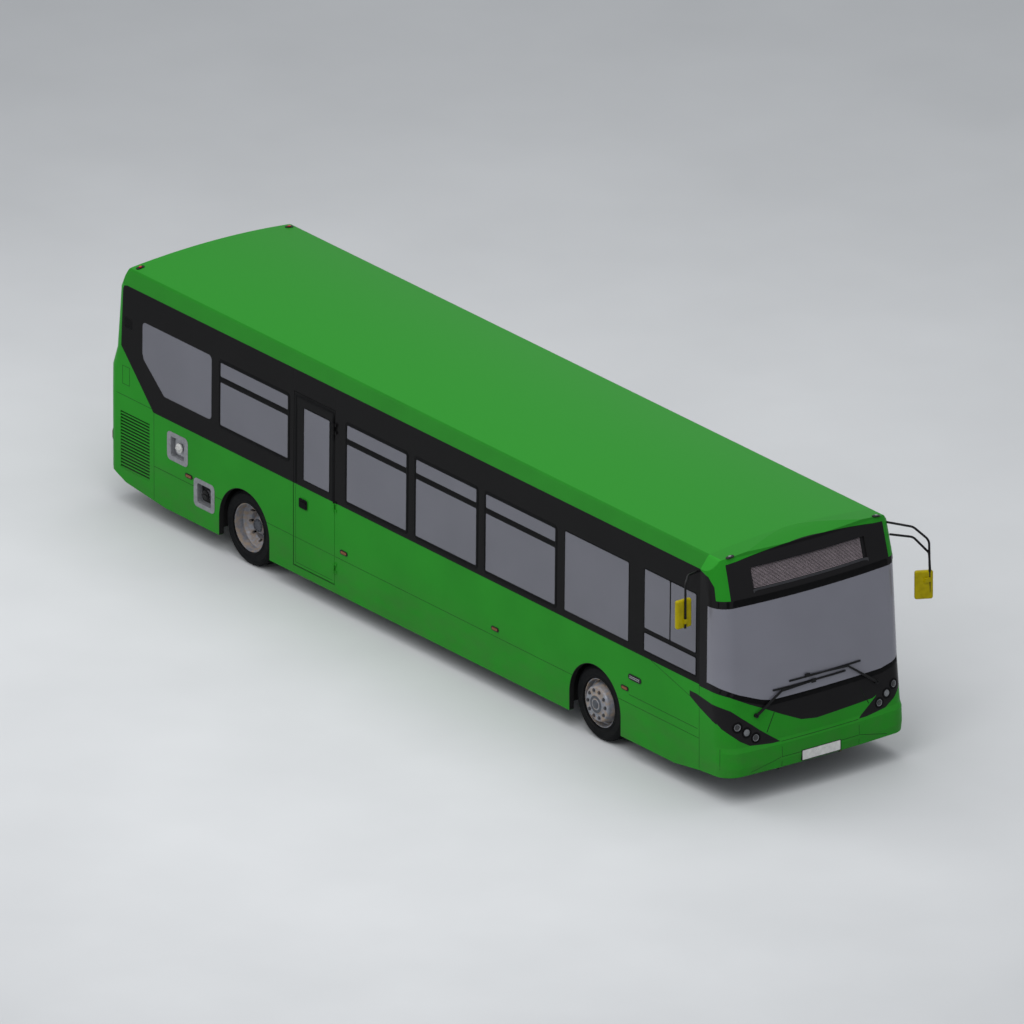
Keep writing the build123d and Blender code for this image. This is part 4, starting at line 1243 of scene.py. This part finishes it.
@dataclass
class DotDisplay:
    """The unlit dots and the sill of the destination display, following the bow of its board."""

    columns: int = 108
    rows: int = 16
    low: float = -0.772
    high: float = 0.722
    foot: float = 2.434
    head: float = 2.647
    dot: float = 0.0046
    sill: Path = ((-0.79, 2.404), (0.79, 2.404))

    def build(self, palette: Palette) -> None:
        """Builds the dots.

        Args:
            palette: the materials.
        """
        board = Skin(("destination_display",))
        shape = Shape()
        for column in range(self.columns):
            y = self.low + (self.high - self.low) * column / (self.columns - 1)
            for row in range(self.rows):
                z = self.foot + (self.head - self.foot) * row / (self.rows - 1)
                place = facing(*board.nose(y, z))
                shape.prism(hexagon(self.dot), shifted(place, 0, 0, -0.001), 0.003)
        shape.piece("display_dots", palette["display_dots"], "black_plastic", smooth=20)
        sill = Shape().ribbon(board.ahead(self.sill, 0.08), 0.044, 0.003)
        sill.piece("display_sill", palette["sill_grey"], "black_plastic")


@dataclass
class Plates:
    """Blank number plates on their holders; the rear one is screwed on."""

    skin: Skin
    front: Point = (NOSE_TIP - 0.0035, 0.0, 0.400)
    rear_height: float = 0.470
    screws: Flat = (-0.235, 0.235)
    holder: Point = (0.545, 0.128, 0.0147)
    plate: Point = (0.520, 0.111, 0.0055)

    def build(self, palette: Palette) -> None:
        """Builds the plates.

        Args:
            palette: the materials.
        """
        upright = facing(Vector(self.front), Vector((1, 0, 0)))
        behind = facing(*self.skin.tail(0.0, self.rear_height))
        for name, finish, place, screws in (
            ("front_plate", "plate_white", upright, ()),
            ("rear_plate", "plate_yellow", behind, self.screws),
        ):
            width, height, depth = self.holder
            holder = Shape()
            holder.prism(rounded(width, height, 0.012), shifted(place, 0, 0, -0.012), depth, 0.002)
            holder.piece(f"{name}_holder", palette["trim_black"], "black_plastic")
            width, height, depth = self.plate
            plate = Shape()
            plate.prism(rounded(width, height, 0.008), shifted(place, 0, 0, -0.002), depth, 0.001)
            for x in screws:
                plate.button(shifted(place, x, 0, 0.0033), 0.006, 0.0035, 12, crown=0.0005)
            plate.piece(name, palette[finish], "silver_paint")


@dataclass
class Fillers:
    """Caps, hinges and dark liners of the two filler pockets."""

    pockets: Path = ((-4.418, 1.007), (-3.922, 0.606))
    back: float = -1.190
    cap: Path = ((0, 0), (0.056, 0), (0.057, 0.006), (0.054, 0.016), (0.046, 0.020), (0, 0.020))
    ribs: int = 20

    def place(self, x: float, out: float, z: float) -> Matrix:
        """A place before the pockets' back, facing out."""
        return facing(Vector((x, self.back - out, z)), Vector((0, -1, 0)))

    def build(self, palette: Palette) -> None:
        """Builds the pocket fittings.

        Args:
            palette: the materials.
        """
        finishes = (("cap_white", "interior_grey"), ("trim_black", "trim_black"))
        for number, ((x, z), (cap_finish, liner_finish)) in enumerate(zip(self.pockets, finishes), 1):
            place = self.place(x, 0.030, z)
            cap = Shape()
            cap.lathe(self.cap, place, 40, False)
            cap.prism(rounded(0.086, 0.020, 0.008), shifted(place, 0, 0, 0.018), 0.016, 0.003)
            for rib in ring(place, self.ribs, 0.0555, 0.003):
                cap.prism(rounded(0.006, 0.008, 0.002, 2), rib, 0.012)
            cap.piece(f"filler_cap_{number}", palette[cap_finish], "black_plastic")
            liner = Shape()
            liner.prism(rounded(0.236, 0.200, 0.040), self.place(x, -0.001, z), 0.003)
            liner.prism(rounded(0.050, 0.090, 0.006), self.place(x + 0.090, 0, z - 0.040), 0.012, 0.003)
            liner.piece(f"filler_liner_{number}", palette[liner_finish], "black_plastic")


@dataclass
class Vents:
    """Painted shadow behind the louvres and grilles as dark sheets, and the mesh of the small side vent.
    """

    skin: Skin
    louvre: Tuple[Point, Point] = ((-5.2135, -1.220, 0.7925), (0.525, 0.004, 0.667))
    grille: Tuple[Point, Point] = ((-5.676, 0.33, 0.855), (0.004, 0.64, 0.34))
    mesh_x: Tuple[float, ...] = (-5.414, -5.346, -5.280)
    mesh_z: Tuple[float, ...] = (2.148, 2.21, 2.271)
    pitch: Flat = (0.0122, 0.0123)

    def build(self, palette: Palette) -> None:
        """Builds the backs and the mesh.

        Args:
            palette: the materials.
        """
        # Dark sheets behind the louvre and the lid grilles stand for the shade inside them: painted
        # shadow.
        back = Shape().box(*self.louvre)
        back.piece("louvre_shadow_sheet", palette["gap_shadow"], "black_plastic")
        lid, mesh = Shape(), Shape()
        (x, y, z), size = self.grille
        for sign in SIDES.values():
            lid.box((x, sign * y, z), size)
        lid.piece("lid_grille_shadow_sheet", palette["gap_shadow"], "black_plastic", Body.LID.value)
        for sign in SIDES.values():
            for i in range(12):
                x = self.mesh_x[0] + self.pitch[0] * i
                mesh.ribbon([self.skin.flank(x, z, sign) for z in self.mesh_z], 0.003, 0.003)
            for i in range(11):
                z = self.mesh_z[0] + self.pitch[1] * i
                mesh.ribbon([self.skin.flank(x, z, sign) for x in self.mesh_x], 0.003, 0.002)
        mesh.piece("side_vent_mesh", palette["trim_black"], "black_plastic")


@dataclass
class Mirrors:
    """Mirror glasses on the rear faces of the heads, each in its rim."""

    heads: Tuple[Tuple[Point, float], ...] = (
        ((5.613, 1.508, 1.949), -28.0), ((5.212, -1.500, 2.207), 0.0),
    )
    half_depth: float = 0.030
    rim: Flat = (0.176, 0.305)
    width: float = 0.164
    panes: Path = ((-0.142, 0.040), (0.050, 0.142))

    def build(self, palette: Palette) -> None:
        """Builds the mirror fittings.

        Args:
            palette: the materials.
        """
        glass, rim = Shape(), Shape()
        for centre, turn in self.heads:
            place = Matrix.Translation(centre) @ Matrix.Rotation(math.radians(turn), 4, "Z")
            place = place @ facing(Vector((-self.half_depth, 0, 0)), Vector((-1, 0, 0)))
            rim.prism(rounded(*self.rim, 0.026), shifted(place, 0, 0, -0.002), 0.004, 0.001)
            for foot, head in self.panes:
                pane = rounded(self.width, head - foot, 0.020)
                glass.prism(pane, shifted(place, 0, (foot + head) / 2, 0.001), 0.002, 0.0005)
        glass.piece("mirror_glasses", palette["mirror_painted_reflection"], "mirror_yellow")
        rim.piece("mirror_rims", palette["trim_black"], "black_plastic")


@dataclass(frozen=True)
class Window:
    """A side window by its edges and its gasket's width; barred where a vent opens over a bar."""

    rear: float
    front: float
    foot: float
    head: float
    seal: float = 0.045
    barred: bool = True


# Bays that both sides share, rear to front
BAYS = (
    Window(-3.624, -2.378, 1.549, 2.287), Window(-1.279, -0.190, 1.387, 2.287),
    Window(-0.007, 1.096, 1.387, 2.287), Window(1.276, 2.539, 1.387, 2.287),
)
WINDOWS = {
    "right": BAYS + (
        Window(2.723, 3.881, 1.387, 2.314, 0.014, False),
        Window(4.175, 5.103, 1.382, 1.584, 0.026, False),
        Window(4.175, 4.628, 1.644, 2.334, 0.018, False),
        Window(4.648, 5.103, 1.644, 2.334, 0.018, False),
    ),
    "left": BAYS[:1] + (Window(-2.210, -1.460, 1.387, 2.287),) + BAYS[1:] + (
        Window(2.723, 3.781, 1.387, 2.314, 0.014, False),
    ),
}


@dataclass
class Gaskets:
    """Rubber round the panes, the bars under the vents, and the emergency door's seal and creases."""

    skin: Skin
    bar: float = 2.094
    bar_width: float = 0.060
    door_pane: Window = Window(-2.075, -1.606, 1.388, 2.234, 0.014, False)
    door_seal: Path = ((-2.226, 1.31), (-2.226, 2.350), (-1.537, 2.350), (-1.537, 1.31))
    creases: Tuple[Path, ...] = (
        ((-2.250, SWAGE), (-1.512, SWAGE)), ((-2.224, 0.360), (-2.224, 1.280)),
        ((-2.224, 0.360), (-1.540, 0.360)),
    )

    def loop(self, shape: Shape, window: Window, sign: int) -> None:
        """Adds the gasket of one pane.

        Args:
            shape: collects it.
            window: the pane.
            sign: the side.
        """
        width = window.seal
        length, height = window.front - window.rear + width, window.head - window.foot + width
        x, z = (window.front + window.rear) / 2, (window.head + window.foot) / 2
        corners = [(x + px, z + pz) for px, pz in rounded(length, height, 0.015 + width / 2)]
        shape.ribbon(self.skin.along(corners + corners[:1], sign, 0.22), width, 0.003)

    def build(self, palette: Palette) -> None:
        """Builds the gaskets.

        Args:
            palette: the materials.
        """
        shape = Shape()
        for side, windows in WINDOWS.items():
            sign = SIDES[side]
            for window in windows:
                self.loop(shape, window, sign)
                if window.barred:
                    bar = ((window.rear - 0.01, self.bar), (window.front + 0.01, self.bar))
                    shape.ribbon(self.skin.along(bar, sign, 0.3), self.bar_width, 0.0028)
        shape.piece("window_gaskets", palette["seal_rubber"], "rubber")
        door, crease, sign = Shape(), Shape(), SIDES["right"]
        self.loop(door, self.door_pane, sign)
        door.ribbon(self.skin.along(self.door_seal, sign, 0.2), 0.050, 0.003)
        door.piece("emergency_door_seal", palette["seal_rubber"], "rubber", Body.EXIT.value)
        for path in self.creases:
            crease.ribbon(self.skin.along(path, sign), 0.005, 0.0006)
        crease.piece("emergency_door_creases", palette["gap_shadow"], "black_plastic", Body.EXIT.value)


@dataclass
class ExitDoor:
    """Cover and pull handle on the emergency door's lock plate."""

    plate: Point = (-2.0745, -1.258, 1.1005)

    def build(self, palette: Palette) -> None:
        """Builds the handle.

        Args:
            palette: the materials.
        """
        place = facing(Vector(self.plate), Vector((0, -1, 0)))
        shape = Shape()
        shape.prism(rounded(0.150, 0.116, 0.022), shifted(place, 0, 0, -0.001), 0.006, 0.002)
        shape.prism(rounded(0.108, 0.024, 0.011), shifted(place, 0, 0.012, 0.003), 0.012, 0.004)
        shape.button(shifted(place, 0.045, -0.030, 0.004), 0.013, 0.006, 20)
        shape.piece("emergency_door_handle", palette["seal_rubber"], "black_plastic", Body.EXIT.value)


@dataclass
class Tail:
    """Round lamps over the tail clusters, reflectors, high stop lamp, and the lid's catch."""

    skin: Skin
    lamps: Tuple[Tuple[str, float], ...] = (
        ("lamp_amber", 0.930), ("lamp_red", 0.785), ("lamp_grey", 0.640),
    )
    column: float = 1.122
    rim: Path = ((0, -0.010), (0.060, -0.010), (0.059, 0.004), (0.050, 0.006), (0, 0.004))
    lens: Path = ((0, 0.002), (0.048, 0.002), (0.047, 0.007), (0.032, 0.0105), (0, 0.012))
    reflector: Flat = (0.985, 0.560)
    reflector_rim: Path = ((0, -0.002), (0.040, -0.002), (0.039, 0.004), (0, 0.004))
    high_stop: float = 2.548
    plate_lamp: float = 0.552
    catch: float = 0.658

    def middle(self, z: float) -> Matrix:
        """A place on the middle of the tail."""
        return facing(*self.skin.tail(0.0, z))

    def build(self, palette: Palette) -> None:
        """Builds the fittings.

        Args:
            palette: the materials.
        """
        base = Shape()
        lenses = {name: Shape() for name, _ in self.lamps}
        for sign in SIDES.values():
            for name, z in self.lamps:
                place = facing(*self.skin.tail(sign * self.column, z))
                base.lathe(self.rim, place, 40, False)
                lenses[name].lathe(self.lens, place, 36, False)
            place = facing(*self.skin.tail(sign * self.reflector[0], self.reflector[1]))
            base.lathe(self.reflector_rim, place, 32, False)
            lenses["lamp_red"].button(place, 0.034, 0.007, 32)
        high = self.middle(self.high_stop)
        base.prism(rounded(0.300, 0.040, 0.012), shifted(high, 0, 0, -0.003), 0.008, 0.002)
        lenses["lamp_red"].prism(rounded(0.270, 0.024, 0.008), high, 0.008, 0.002)
        low = shifted(self.middle(self.plate_lamp), 0, 0, -0.002)
        base.prism(rounded(0.150, 0.030, 0.010), low, 0.012, 0.003)
        base.piece("tail_lamp_rims", palette["trim_black"], "black_plastic")
        for name, shape in lenses.items():
            slot = "lamp_red" if name == "lamp_red" else "lamp_glass"
            shape.piece(f"tail_{name}", palette[name], slot)
        catch = self.middle(self.catch)
        handle = Shape().prism(rounded(0.190, 0.050, 0.018), shifted(catch, 0, 0, -0.002), 0.005, 0.002)
        handle.prism(rounded(0.150, 0.022, 0.009), shifted(catch, 0, 0.010, 0.002), 0.009, 0.003)
        handle.button(shifted(catch, 0, -0.018, 0.003), 0.010, 0.004, 20)
        handle.piece("engine_lid_catch", palette["trim_black"], "black_plastic", Body.LID.value)


@dataclass
class WiperTrim:
    """Rubber lips under the blades, nuts on the spindles and the screen's gasket."""

    skin: Skin
    blades: Tuple[Path, ...] = (((-0.597, 1.219), (0.390, 1.219)), ((-0.376, 1.280), (0.607, 1.280)))
    spindles: Path = ((-0.835, 0.983), (0.824, 0.983))
    spindle_top: float = 0.029
    nut: Path = ((0, 0), (0.015, 0), (0.015, 0.002), (0.009, 0.002), (0.008, 0.009), (0, 0.010))
    foot: Path = (
        (-1.215, 1.312), (-1.016, 1.217), (-0.762, 1.118), (-0.620, 1.080), (0.904, 1.080),
        (1.070, 1.112), (1.160, 1.142),
    )
    head: Path = ((-1.200, 2.306), (1.200, 2.306))

    def build(self, palette: Palette) -> None:
        """Builds the trim.

        Args:
            palette: the materials.
        """
        shape, gasket = Shape(), Shape()
        for blade in self.blades:
            shape.ribbon(self.skin.ahead(blade, 0.05), 0.007, 0.0045)
        for y, z in self.spindles:
            place = facing(*self.skin.nose(y, z))
            shape.lathe(self.nut, shifted(place, 0, 0, self.spindle_top), 6, False)
        shape.piece("wiper_rubbers", palette["seal_rubber"], "rubber")
        for path, width in ((self.foot, 0.060), (self.head, 0.084)):
            gasket.ribbon(self.skin.ahead(path, 0.08), width, 0.003)
        gasket.piece("windscreen_gasket", palette["seal_rubber"], "rubber")


@dataclass
class Cab:
    """Binnacle with dials, steering boss and ticket machine."""

    binnacle: Point = (5.105, -0.740, 1.150)
    cowl: Path = ((-0.055, -0.050), (-0.070, 0.060), (-0.020, 0.092), (0.075, 0.030), (0.075, -0.060))
    cowl_width: float = 0.400
    machine: Tuple[Point, Point] = ((4.640, -0.380, 1.425), (0.210, 0.150, 0.190))
    screen: Tuple[Point, Point] = ((4.530, -0.380, 1.400), (0.016, 0.110, 0.090))
    dials: Tuple[Point, ...] = ((-0.105, 0.0, 0.046), (0.0, 0.008, 0.052), (0.105, 0.0, 0.046))
    dial_plane: Flat = (-0.0635, 0.005)
    dial_normal: Point = (-0.99, 0, 0.13)
    first_mark: float = -130.0
    mark_pitch: float = 26.0
    marks: int = 11
    boss: Point = (4.800, -0.740, 1.180)
    boss_tilt: float = -28.0
    boss_profile: Path = ((0, -0.001), (0.047, -0.001), (0.046, 0.006), (0.030, 0.013), (0, 0.015))

    def build(self, palette: Palette) -> None:
        """Builds the cab's fittings.

        Args:
            palette: the materials.
        """
        x, y, z = self.binnacle
        cowl = Shape()
        end = Matrix.Translation((x, y + self.cowl_width / 2, z))
        cowl.prism(self.cowl, end @ Matrix.Rotation(math.radians(90), 4, "X"), self.cowl_width, 0.008)
        cowl.box(*self.machine, 0.012)
        cowl.box(*self.screen, 0.004)
        cowl.piece("cab_binnacle", palette["dash_black"], "dash_plastic")
        self.instruments(palette)
        place = Matrix.Translation(self.boss) @ Matrix.Rotation(math.radians(self.boss_tilt), 4, "Y")
        boss = Shape().lathe(self.boss_profile, place, 36, False)
        boss.piece("steering_boss", palette["trim_black"], "dash_plastic", Body.WHEEL.value)

    def instruments(self, palette: Palette) -> None:
        """Builds the dials and their marks.

        Args:
            palette: the materials.
        """
        x, y, z = self.binnacle
        ahead, up = self.dial_plane
        faces, marks = Shape(), Shape()
        for aside, lift, radius in self.dials:
            place = facing(Vector((x + ahead, y + aside, z + up + lift)), Vector(self.dial_normal))
            dish = ((0, 0), (radius, 0), (radius, 0.003), (radius - 0.004, 0.004), (0, 0.002))
            faces.lathe(dish, place, 36, False)
            for i in range(self.marks):
                angle = math.radians(self.first_mark + self.mark_pitch * i)
                mark = shifted(place @ Matrix.Rotation(angle, 4, "Z"), 0, radius - 0.011, 0.003)
                marks.prism(rounded(0.002, 0.009, 0.0004, 1), mark, 0.001)
        faces.piece("dials", palette["trim_black"], "black_plastic")
        marks.piece("dial_marks", palette["plate_white"], "silver_paint")


@dataclass
class Saloon:
    """Ceiling lights, bell pushes and hanging straps."""

    lights: Tuple[float, ...] = (-3.85, -1.50, 0.85, 3.20)
    light: Point = (2.20, 0.110, 0.030)
    light_at: Flat = (0.620, 2.778)
    posts: Tuple[float, ...] = (-3.650, -2.450, -0.800, 0.700, 2.200)
    step: float = -2.350
    bell_height: float = 1.130
    bell_at: float = 0.276
    push_at: float = 0.263
    straps: int = 9
    first_strap: float = -1.95
    strap_pitch: float = 0.52
    strap_at: float = 0.300
    grip: float = 0.050
    grip_height: float = 1.775

    def strap(self, shape: Shape, x: float, sign: int) -> None:
        """Adds a strap with its grip and clamp.

        Args:
            shape: collects it.
            x: where it hangs.
            sign: the side.
        """
        y = sign * self.strap_at
        loop = []
        for angle in map(math.radians, range(0, 360, 30)):
            aside, down = self.grip * math.sin(angle), self.grip * math.cos(angle)
            loop.append(Vector((x, y + aside, self.grip_height - down)))
        shape.tube(loop + loop[:1], 0.008, 8)
        shape.box((x, y, 1.872), (0.026, 0.004, 0.096), 0.001)
        shape.box((x, y, 1.918), (0.028, 0.040, 0.006), 0.001)

    def build(self, palette: Palette) -> None:
        """Builds the saloon's fittings.

        Args:
            palette: the materials.
        """
        light, bell, button, strap = Shape(), Shape(), Shape(), Shape()
        for sign in SIDES.values():
            for x in self.lights:
                light.box((x, sign * self.light_at[0], self.light_at[1]), self.light, 0.010)
            for x in self.posts:
                z = (FLOOR if x > self.step else REAR_FLOOR) + self.bell_height
                bell.box((x, sign * self.bell_at, z), (0.052, 0.026, 0.095), 0.006)
                place = facing(Vector((x, sign * self.push_at, z)), Vector((0, -sign, 0)))
                button.button(place, 0.015, 0.006, 20)
            for i in range(self.straps):
                self.strap(strap, self.first_strap + self.strap_pitch * i, sign)
        light.piece("ceiling_lights", palette["plate_white"], "interior_panel")
        bell.piece("bell_pushes", palette["rail_yellow"], "rail_yellow")
        button.piece("bell_buttons", palette["lamp_red"], "lamp_red")
        strap.piece("hanging_straps", palette["trim_black"], "black_plastic")


@dataclass
class Cushions:
    """Stitched seat and back cushions of the saloon, the rear bench and the driver.

    Sections are (x, z) from a seat's origin: front bottom, front top, rear top, rear bottom. rows
    holds the side, floor and origins of the double seats.
    """

    cells: int = 10
    corner: float = 0.024
    sink: float = 0.6
    channels: Flat = (-0.34, 0.34)
    channel_width: float = 0.07
    channel_depth: float = 0.006
    rows: Tuple[Tuple[int, float, Tuple[float, ...]], ...] = (
        (-1, FLOOR, (-1.150, -0.400, 0.350, 1.100, 1.850)), (1, FLOOR, (-2.050, -1.300, -0.550, 0.200)),
        (-1, REAR_FLOOR, (-2.980, -3.680, -4.380)), (1, REAR_FLOOR, (-2.980, -3.680, -4.380)),
    )
    pair: Flat = (0.748, 0.215)
    half_width: float = 0.201
    double: Tuple[Path, Path] = (
        ((0.425, 0.400), (0.425, 0.455), (0.040, 0.455), (0.028, 0.400)),
        ((0.075, 0.465), (-0.030, 1.030), (-0.082, 1.030), (0.030, 0.465)),
    )
    bench_at: Flat = (-5.080, 1.050)
    bench_pitch: float = 0.440
    bench_half: float = 0.205
    bench: Tuple[Path, Path] = (
        ((0.375, 0.302), (0.375, 0.355), (0.040, 0.355), (0.028, 0.302)),
        ((0.070, 0.365), (-0.020, 0.920), (-0.070, 0.920), (0.025, 0.365)),
    )
    driver_at: Flat = (4.180, -0.740)
    driver: Tuple[Tuple[Path, float], ...] = (
        (((0.440, 0.792), (0.440, 0.880), (0.060, 0.880), (0.045, 0.792)), 0.235),
        (((0.110, 0.890), (-0.020, 1.490), (-0.092, 1.490), (0.045, 0.890)), 0.225),
    )

    def pad(self, shape: Shape, corners: Sequence[Flat], y: float, half_width: float,
            puff: float = 0.010) -> None:
        """Adds one cushion.

        Args:
            shape: collects it.
            corners: its section.
            y: its middle.
            half_width: half its width.
            puff: how far its faces swell.
        """
        a, b, c, d = (Vector(corner) for corner in corners)
        half = Vector(((a + b - c - d).length / 4, half_width, (b + c - a - d).length / 4))
        corner = min(self.corner, 0.8 * min(half))
        long = 0 if half.x > half.z else 2
        thin = 2 - long

        def place(cell: Tuple[int, int, int]) -> Point:
            """Where a grid point of the cushion lies.

            Args:
                cell: its steps on the three axes.

            Returns:
                The place.
            """
            unit = Vector([2 * step / self.cells - 1 for step in cell])
            p = Vector([u * h for u, h in zip(unit, half)])
            inner = Vector([max(-(h - corner), min(h - corner, v)) for v, h in zip(p, half)])
            out = p - inner
            if out.length > 1e-9:
                p = inner + out.normalized() * corner
            if unit[thin] > 0.999:
                along = unit[long]
                swell = (1 - unit.y ** 4) * (1 - along ** 4)
                sewn = sum(math.exp(-((along - at) / self.channel_width) ** 2) for at in self.channels)
                p[thin] += puff * (swell - self.sink) - self.channel_depth * sewn * (1 - unit.y ** 8)
            across, up = (p.x / half.x + 1) / 2, (p.z / half.z + 1) / 2
            flat = d.lerp(a, across).lerp(c.lerp(b, across), up)
            return (flat.x, y + p.y, flat.y)

        made = {}
        n = self.cells
        for axis in range(3):
            u, v = [i for i in range(3) if i != axis]
            for end, i, j in product((0, n), range(n), range(n)):
                quad = []
                for di, dj in ((0, 0), (1, 0), (1, 1), (0, 1)):
                    cell = [0, 0, 0]
                    cell[axis], cell[u], cell[v] = end, i + di, j + dj
                    key = tuple(cell)
                    if key not in made:
                        made[key] = shape.mesh.verts.new(place(key))
                    quad.append(made[key])
                shape.mesh.faces.new(quad)

    def build(self, palette: Palette) -> None:
        """Builds all cushions in place of the plain pads.

        Args:
            palette: the materials.
        """
        shape = Shape()
        middle, aside = self.pair
        for sign, floor, origins in self.rows:
            for x, seat, section in product(origins, (-1, 1), self.double):
                moved = [(x + px, floor + pz) for px, pz in section]
                self.pad(shape, moved, sign * middle + seat * aside, self.half_width)
        x, z = self.bench_at
        for seat, section in product(range(-2, 3), self.bench):
            moved = [(x + px, z + pz) for px, pz in section]
            self.pad(shape, moved, seat * self.bench_pitch, self.bench_half)
        x, y = self.driver_at
        for section, half_width in self.driver:
            self.pad(shape, [(x + px, pz) for px, pz in section], y, half_width, 0.014)
        piece = shape.piece("seat_cushions", palette["seat_moquette"], "seat_fabric", smooth=60)
        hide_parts("seat_pads")


@dataclass
class NoseFloor:
    """Floor plate that carries the low floor on to the inside of the nose."""

    skin: Skin
    front: float = 5.4005
    top: float = 0.329
    thick: float = 0.030
    sight: float = 0.020
    wall: float = 0.0525
    half: float = 1.05
    count: int = 24

    def build(self, palette: Palette) -> None:
        """Builds the plate.

        Args:
            palette: the materials.
        """
        edge = []
        for step in range(self.count + 1):
            y = self.half * (2 * step / self.count - 1)
            point, normal = self.skin.nose(y, self.top + self.sight)
            inner = point - normal * self.wall
            if inner.x > self.front:
                edge.append((inner.x, inner.y))
        outline = [(self.front, edge[0][1])] + edge + [(self.front, edge[-1][1])]
        shape = Shape().prism(outline, Matrix.Translation((0, 0, self.top - self.thick)), self.thick)
        shape.piece("nose_floor", palette["floor_vinyl"], "floor_vinyl")


# ------------------------------------------------------------------ studio


@dataclass
class Studio:
    """The pale floor, the soft light and the camera.

    Each light is a name, a place, a size and a power, and shines on aim.
    """

    azimuth: float = 53.06
    elevation: float = 21.88
    target: Point = (0.070, 0.0, 1.401)
    width: float = 11.315
    slide: Flat = (0.019, -0.010)
    focal: float = 1600.0
    sensor: float = 36.0
    clip: Flat = (10.0, 150.0)
    sky: Colour = (0.93, 0.96, 1.0)
    sky_strength: float = 0.55
    floor_half: float = 60.0
    floor_tones: Tuple[Colour, Colour] = ((0.56, 0.57, 0.58), (0.60, 0.61, 0.62))
    lights: Tuple[Tuple[str, Point, float, float], ...] = (
        ("key", (9.0, -10.0, 14.0), 10.0, 900.0),
        ("fill", (-9.0, -7.0, 9.0), 9.0, 350.0),
        ("top", (0.0, 0.0, 16.0), 16.0, 1500.0),
    )
    aim: Point = (0, 0, 1)

    def build(self) -> None:
        """Builds the studio."""
        self.backdrop()
        for name, place, size, power in self.lights:
            lamp = bpy.data.lights.new(name, "AREA")
            lamp.size = size
            lamp.energy = power
            light = bpy.data.objects.new(name, lamp)
            light.location = place
            beam = Vector(self.aim) - Vector(place)
            light.rotation_euler = beam.to_track_quat("-Z", "Y").to_euler()
            bpy.context.scene.collection.objects.link(light)
        self.camera()

    def backdrop(self) -> None:
        """Lays the floor under an even sky."""
        scene = bpy.context.scene
        world = bpy.data.worlds.new("studio")
        world.use_nodes = True
        background = world.node_tree.nodes["Background"]
        background.inputs["Color"].default_value = (*self.sky, 1.0)
        background.inputs["Strength"].default_value = self.sky_strength
        scene.world = world
        scene.view_settings.view_transform = "Standard"
        half = self.floor_half
        corners = ((-half, -half, 0), (half, -half, 0), (half, half, 0), (-half, half, 0))
        data = bpy.data.meshes.new("studio_floor")
        data.from_pydata(corners, [], [(0, 1, 2, 3)])
        floor = bpy.data.objects.new("studio_floor", data)
        scene.collection.objects.link(floor)
        g = Graph("studio_floor")
        g.set(Roughness=0.9)
        g.feed("Base Color", g.mix(g.cloud(0.4), *self.floor_tones))
        data.materials.append(g.material)

    def camera(self) -> None:
        """Places a very long lens where the view's parallel lines stay parallel."""
        a, e = math.radians(self.azimuth), math.radians(self.elevation)
        away = Vector((math.cos(e) * math.sin(a), -math.cos(e) * math.cos(a), math.sin(e)))
        distance = self.width * self.focal / self.sensor
        lens = bpy.data.cameras.new("camera")
        lens.lens = self.focal
        lens.sensor_width = self.sensor
        lens.clip_start = self.clip[0]
        lens.clip_end = distance + self.clip[1]
        camera = bpy.data.objects.new("camera", lens)
        turn = (-away).to_track_quat("-Z", "Y")
        aside = turn @ Vector((*self.slide, 0.0))
        camera.location = Vector(self.target) + aside + away * distance
        camera.rotation_euler = turn.to_euler()
        bpy.context.scene.collection.objects.link(camera)
        bpy.context.scene.camera = camera


def main() -> None:
    """Builds the looks in order and reports each piece."""
    logging.basicConfig(level=logging.INFO, format="%(name)s %(message)s")
    palette = Palette()
    Studio().build()
    dress_nodes(palette)
    skin = Skin(OUTSIDE)
    for part in (
        Tyres(), WheelTrim(), Seams(skin), SmallLamps(skin), Headlamps(skin), DotDisplay(),
        Plates(skin), Fillers(), Vents(skin), Mirrors(), Gaskets(skin), ExitDoor(), Tail(skin),
        WiperTrim(skin), Cab(), Saloon(), Cushions(), NoseFloor(skin),
    ):
        part.build(palette)


if __name__ == "__main__":
    main()
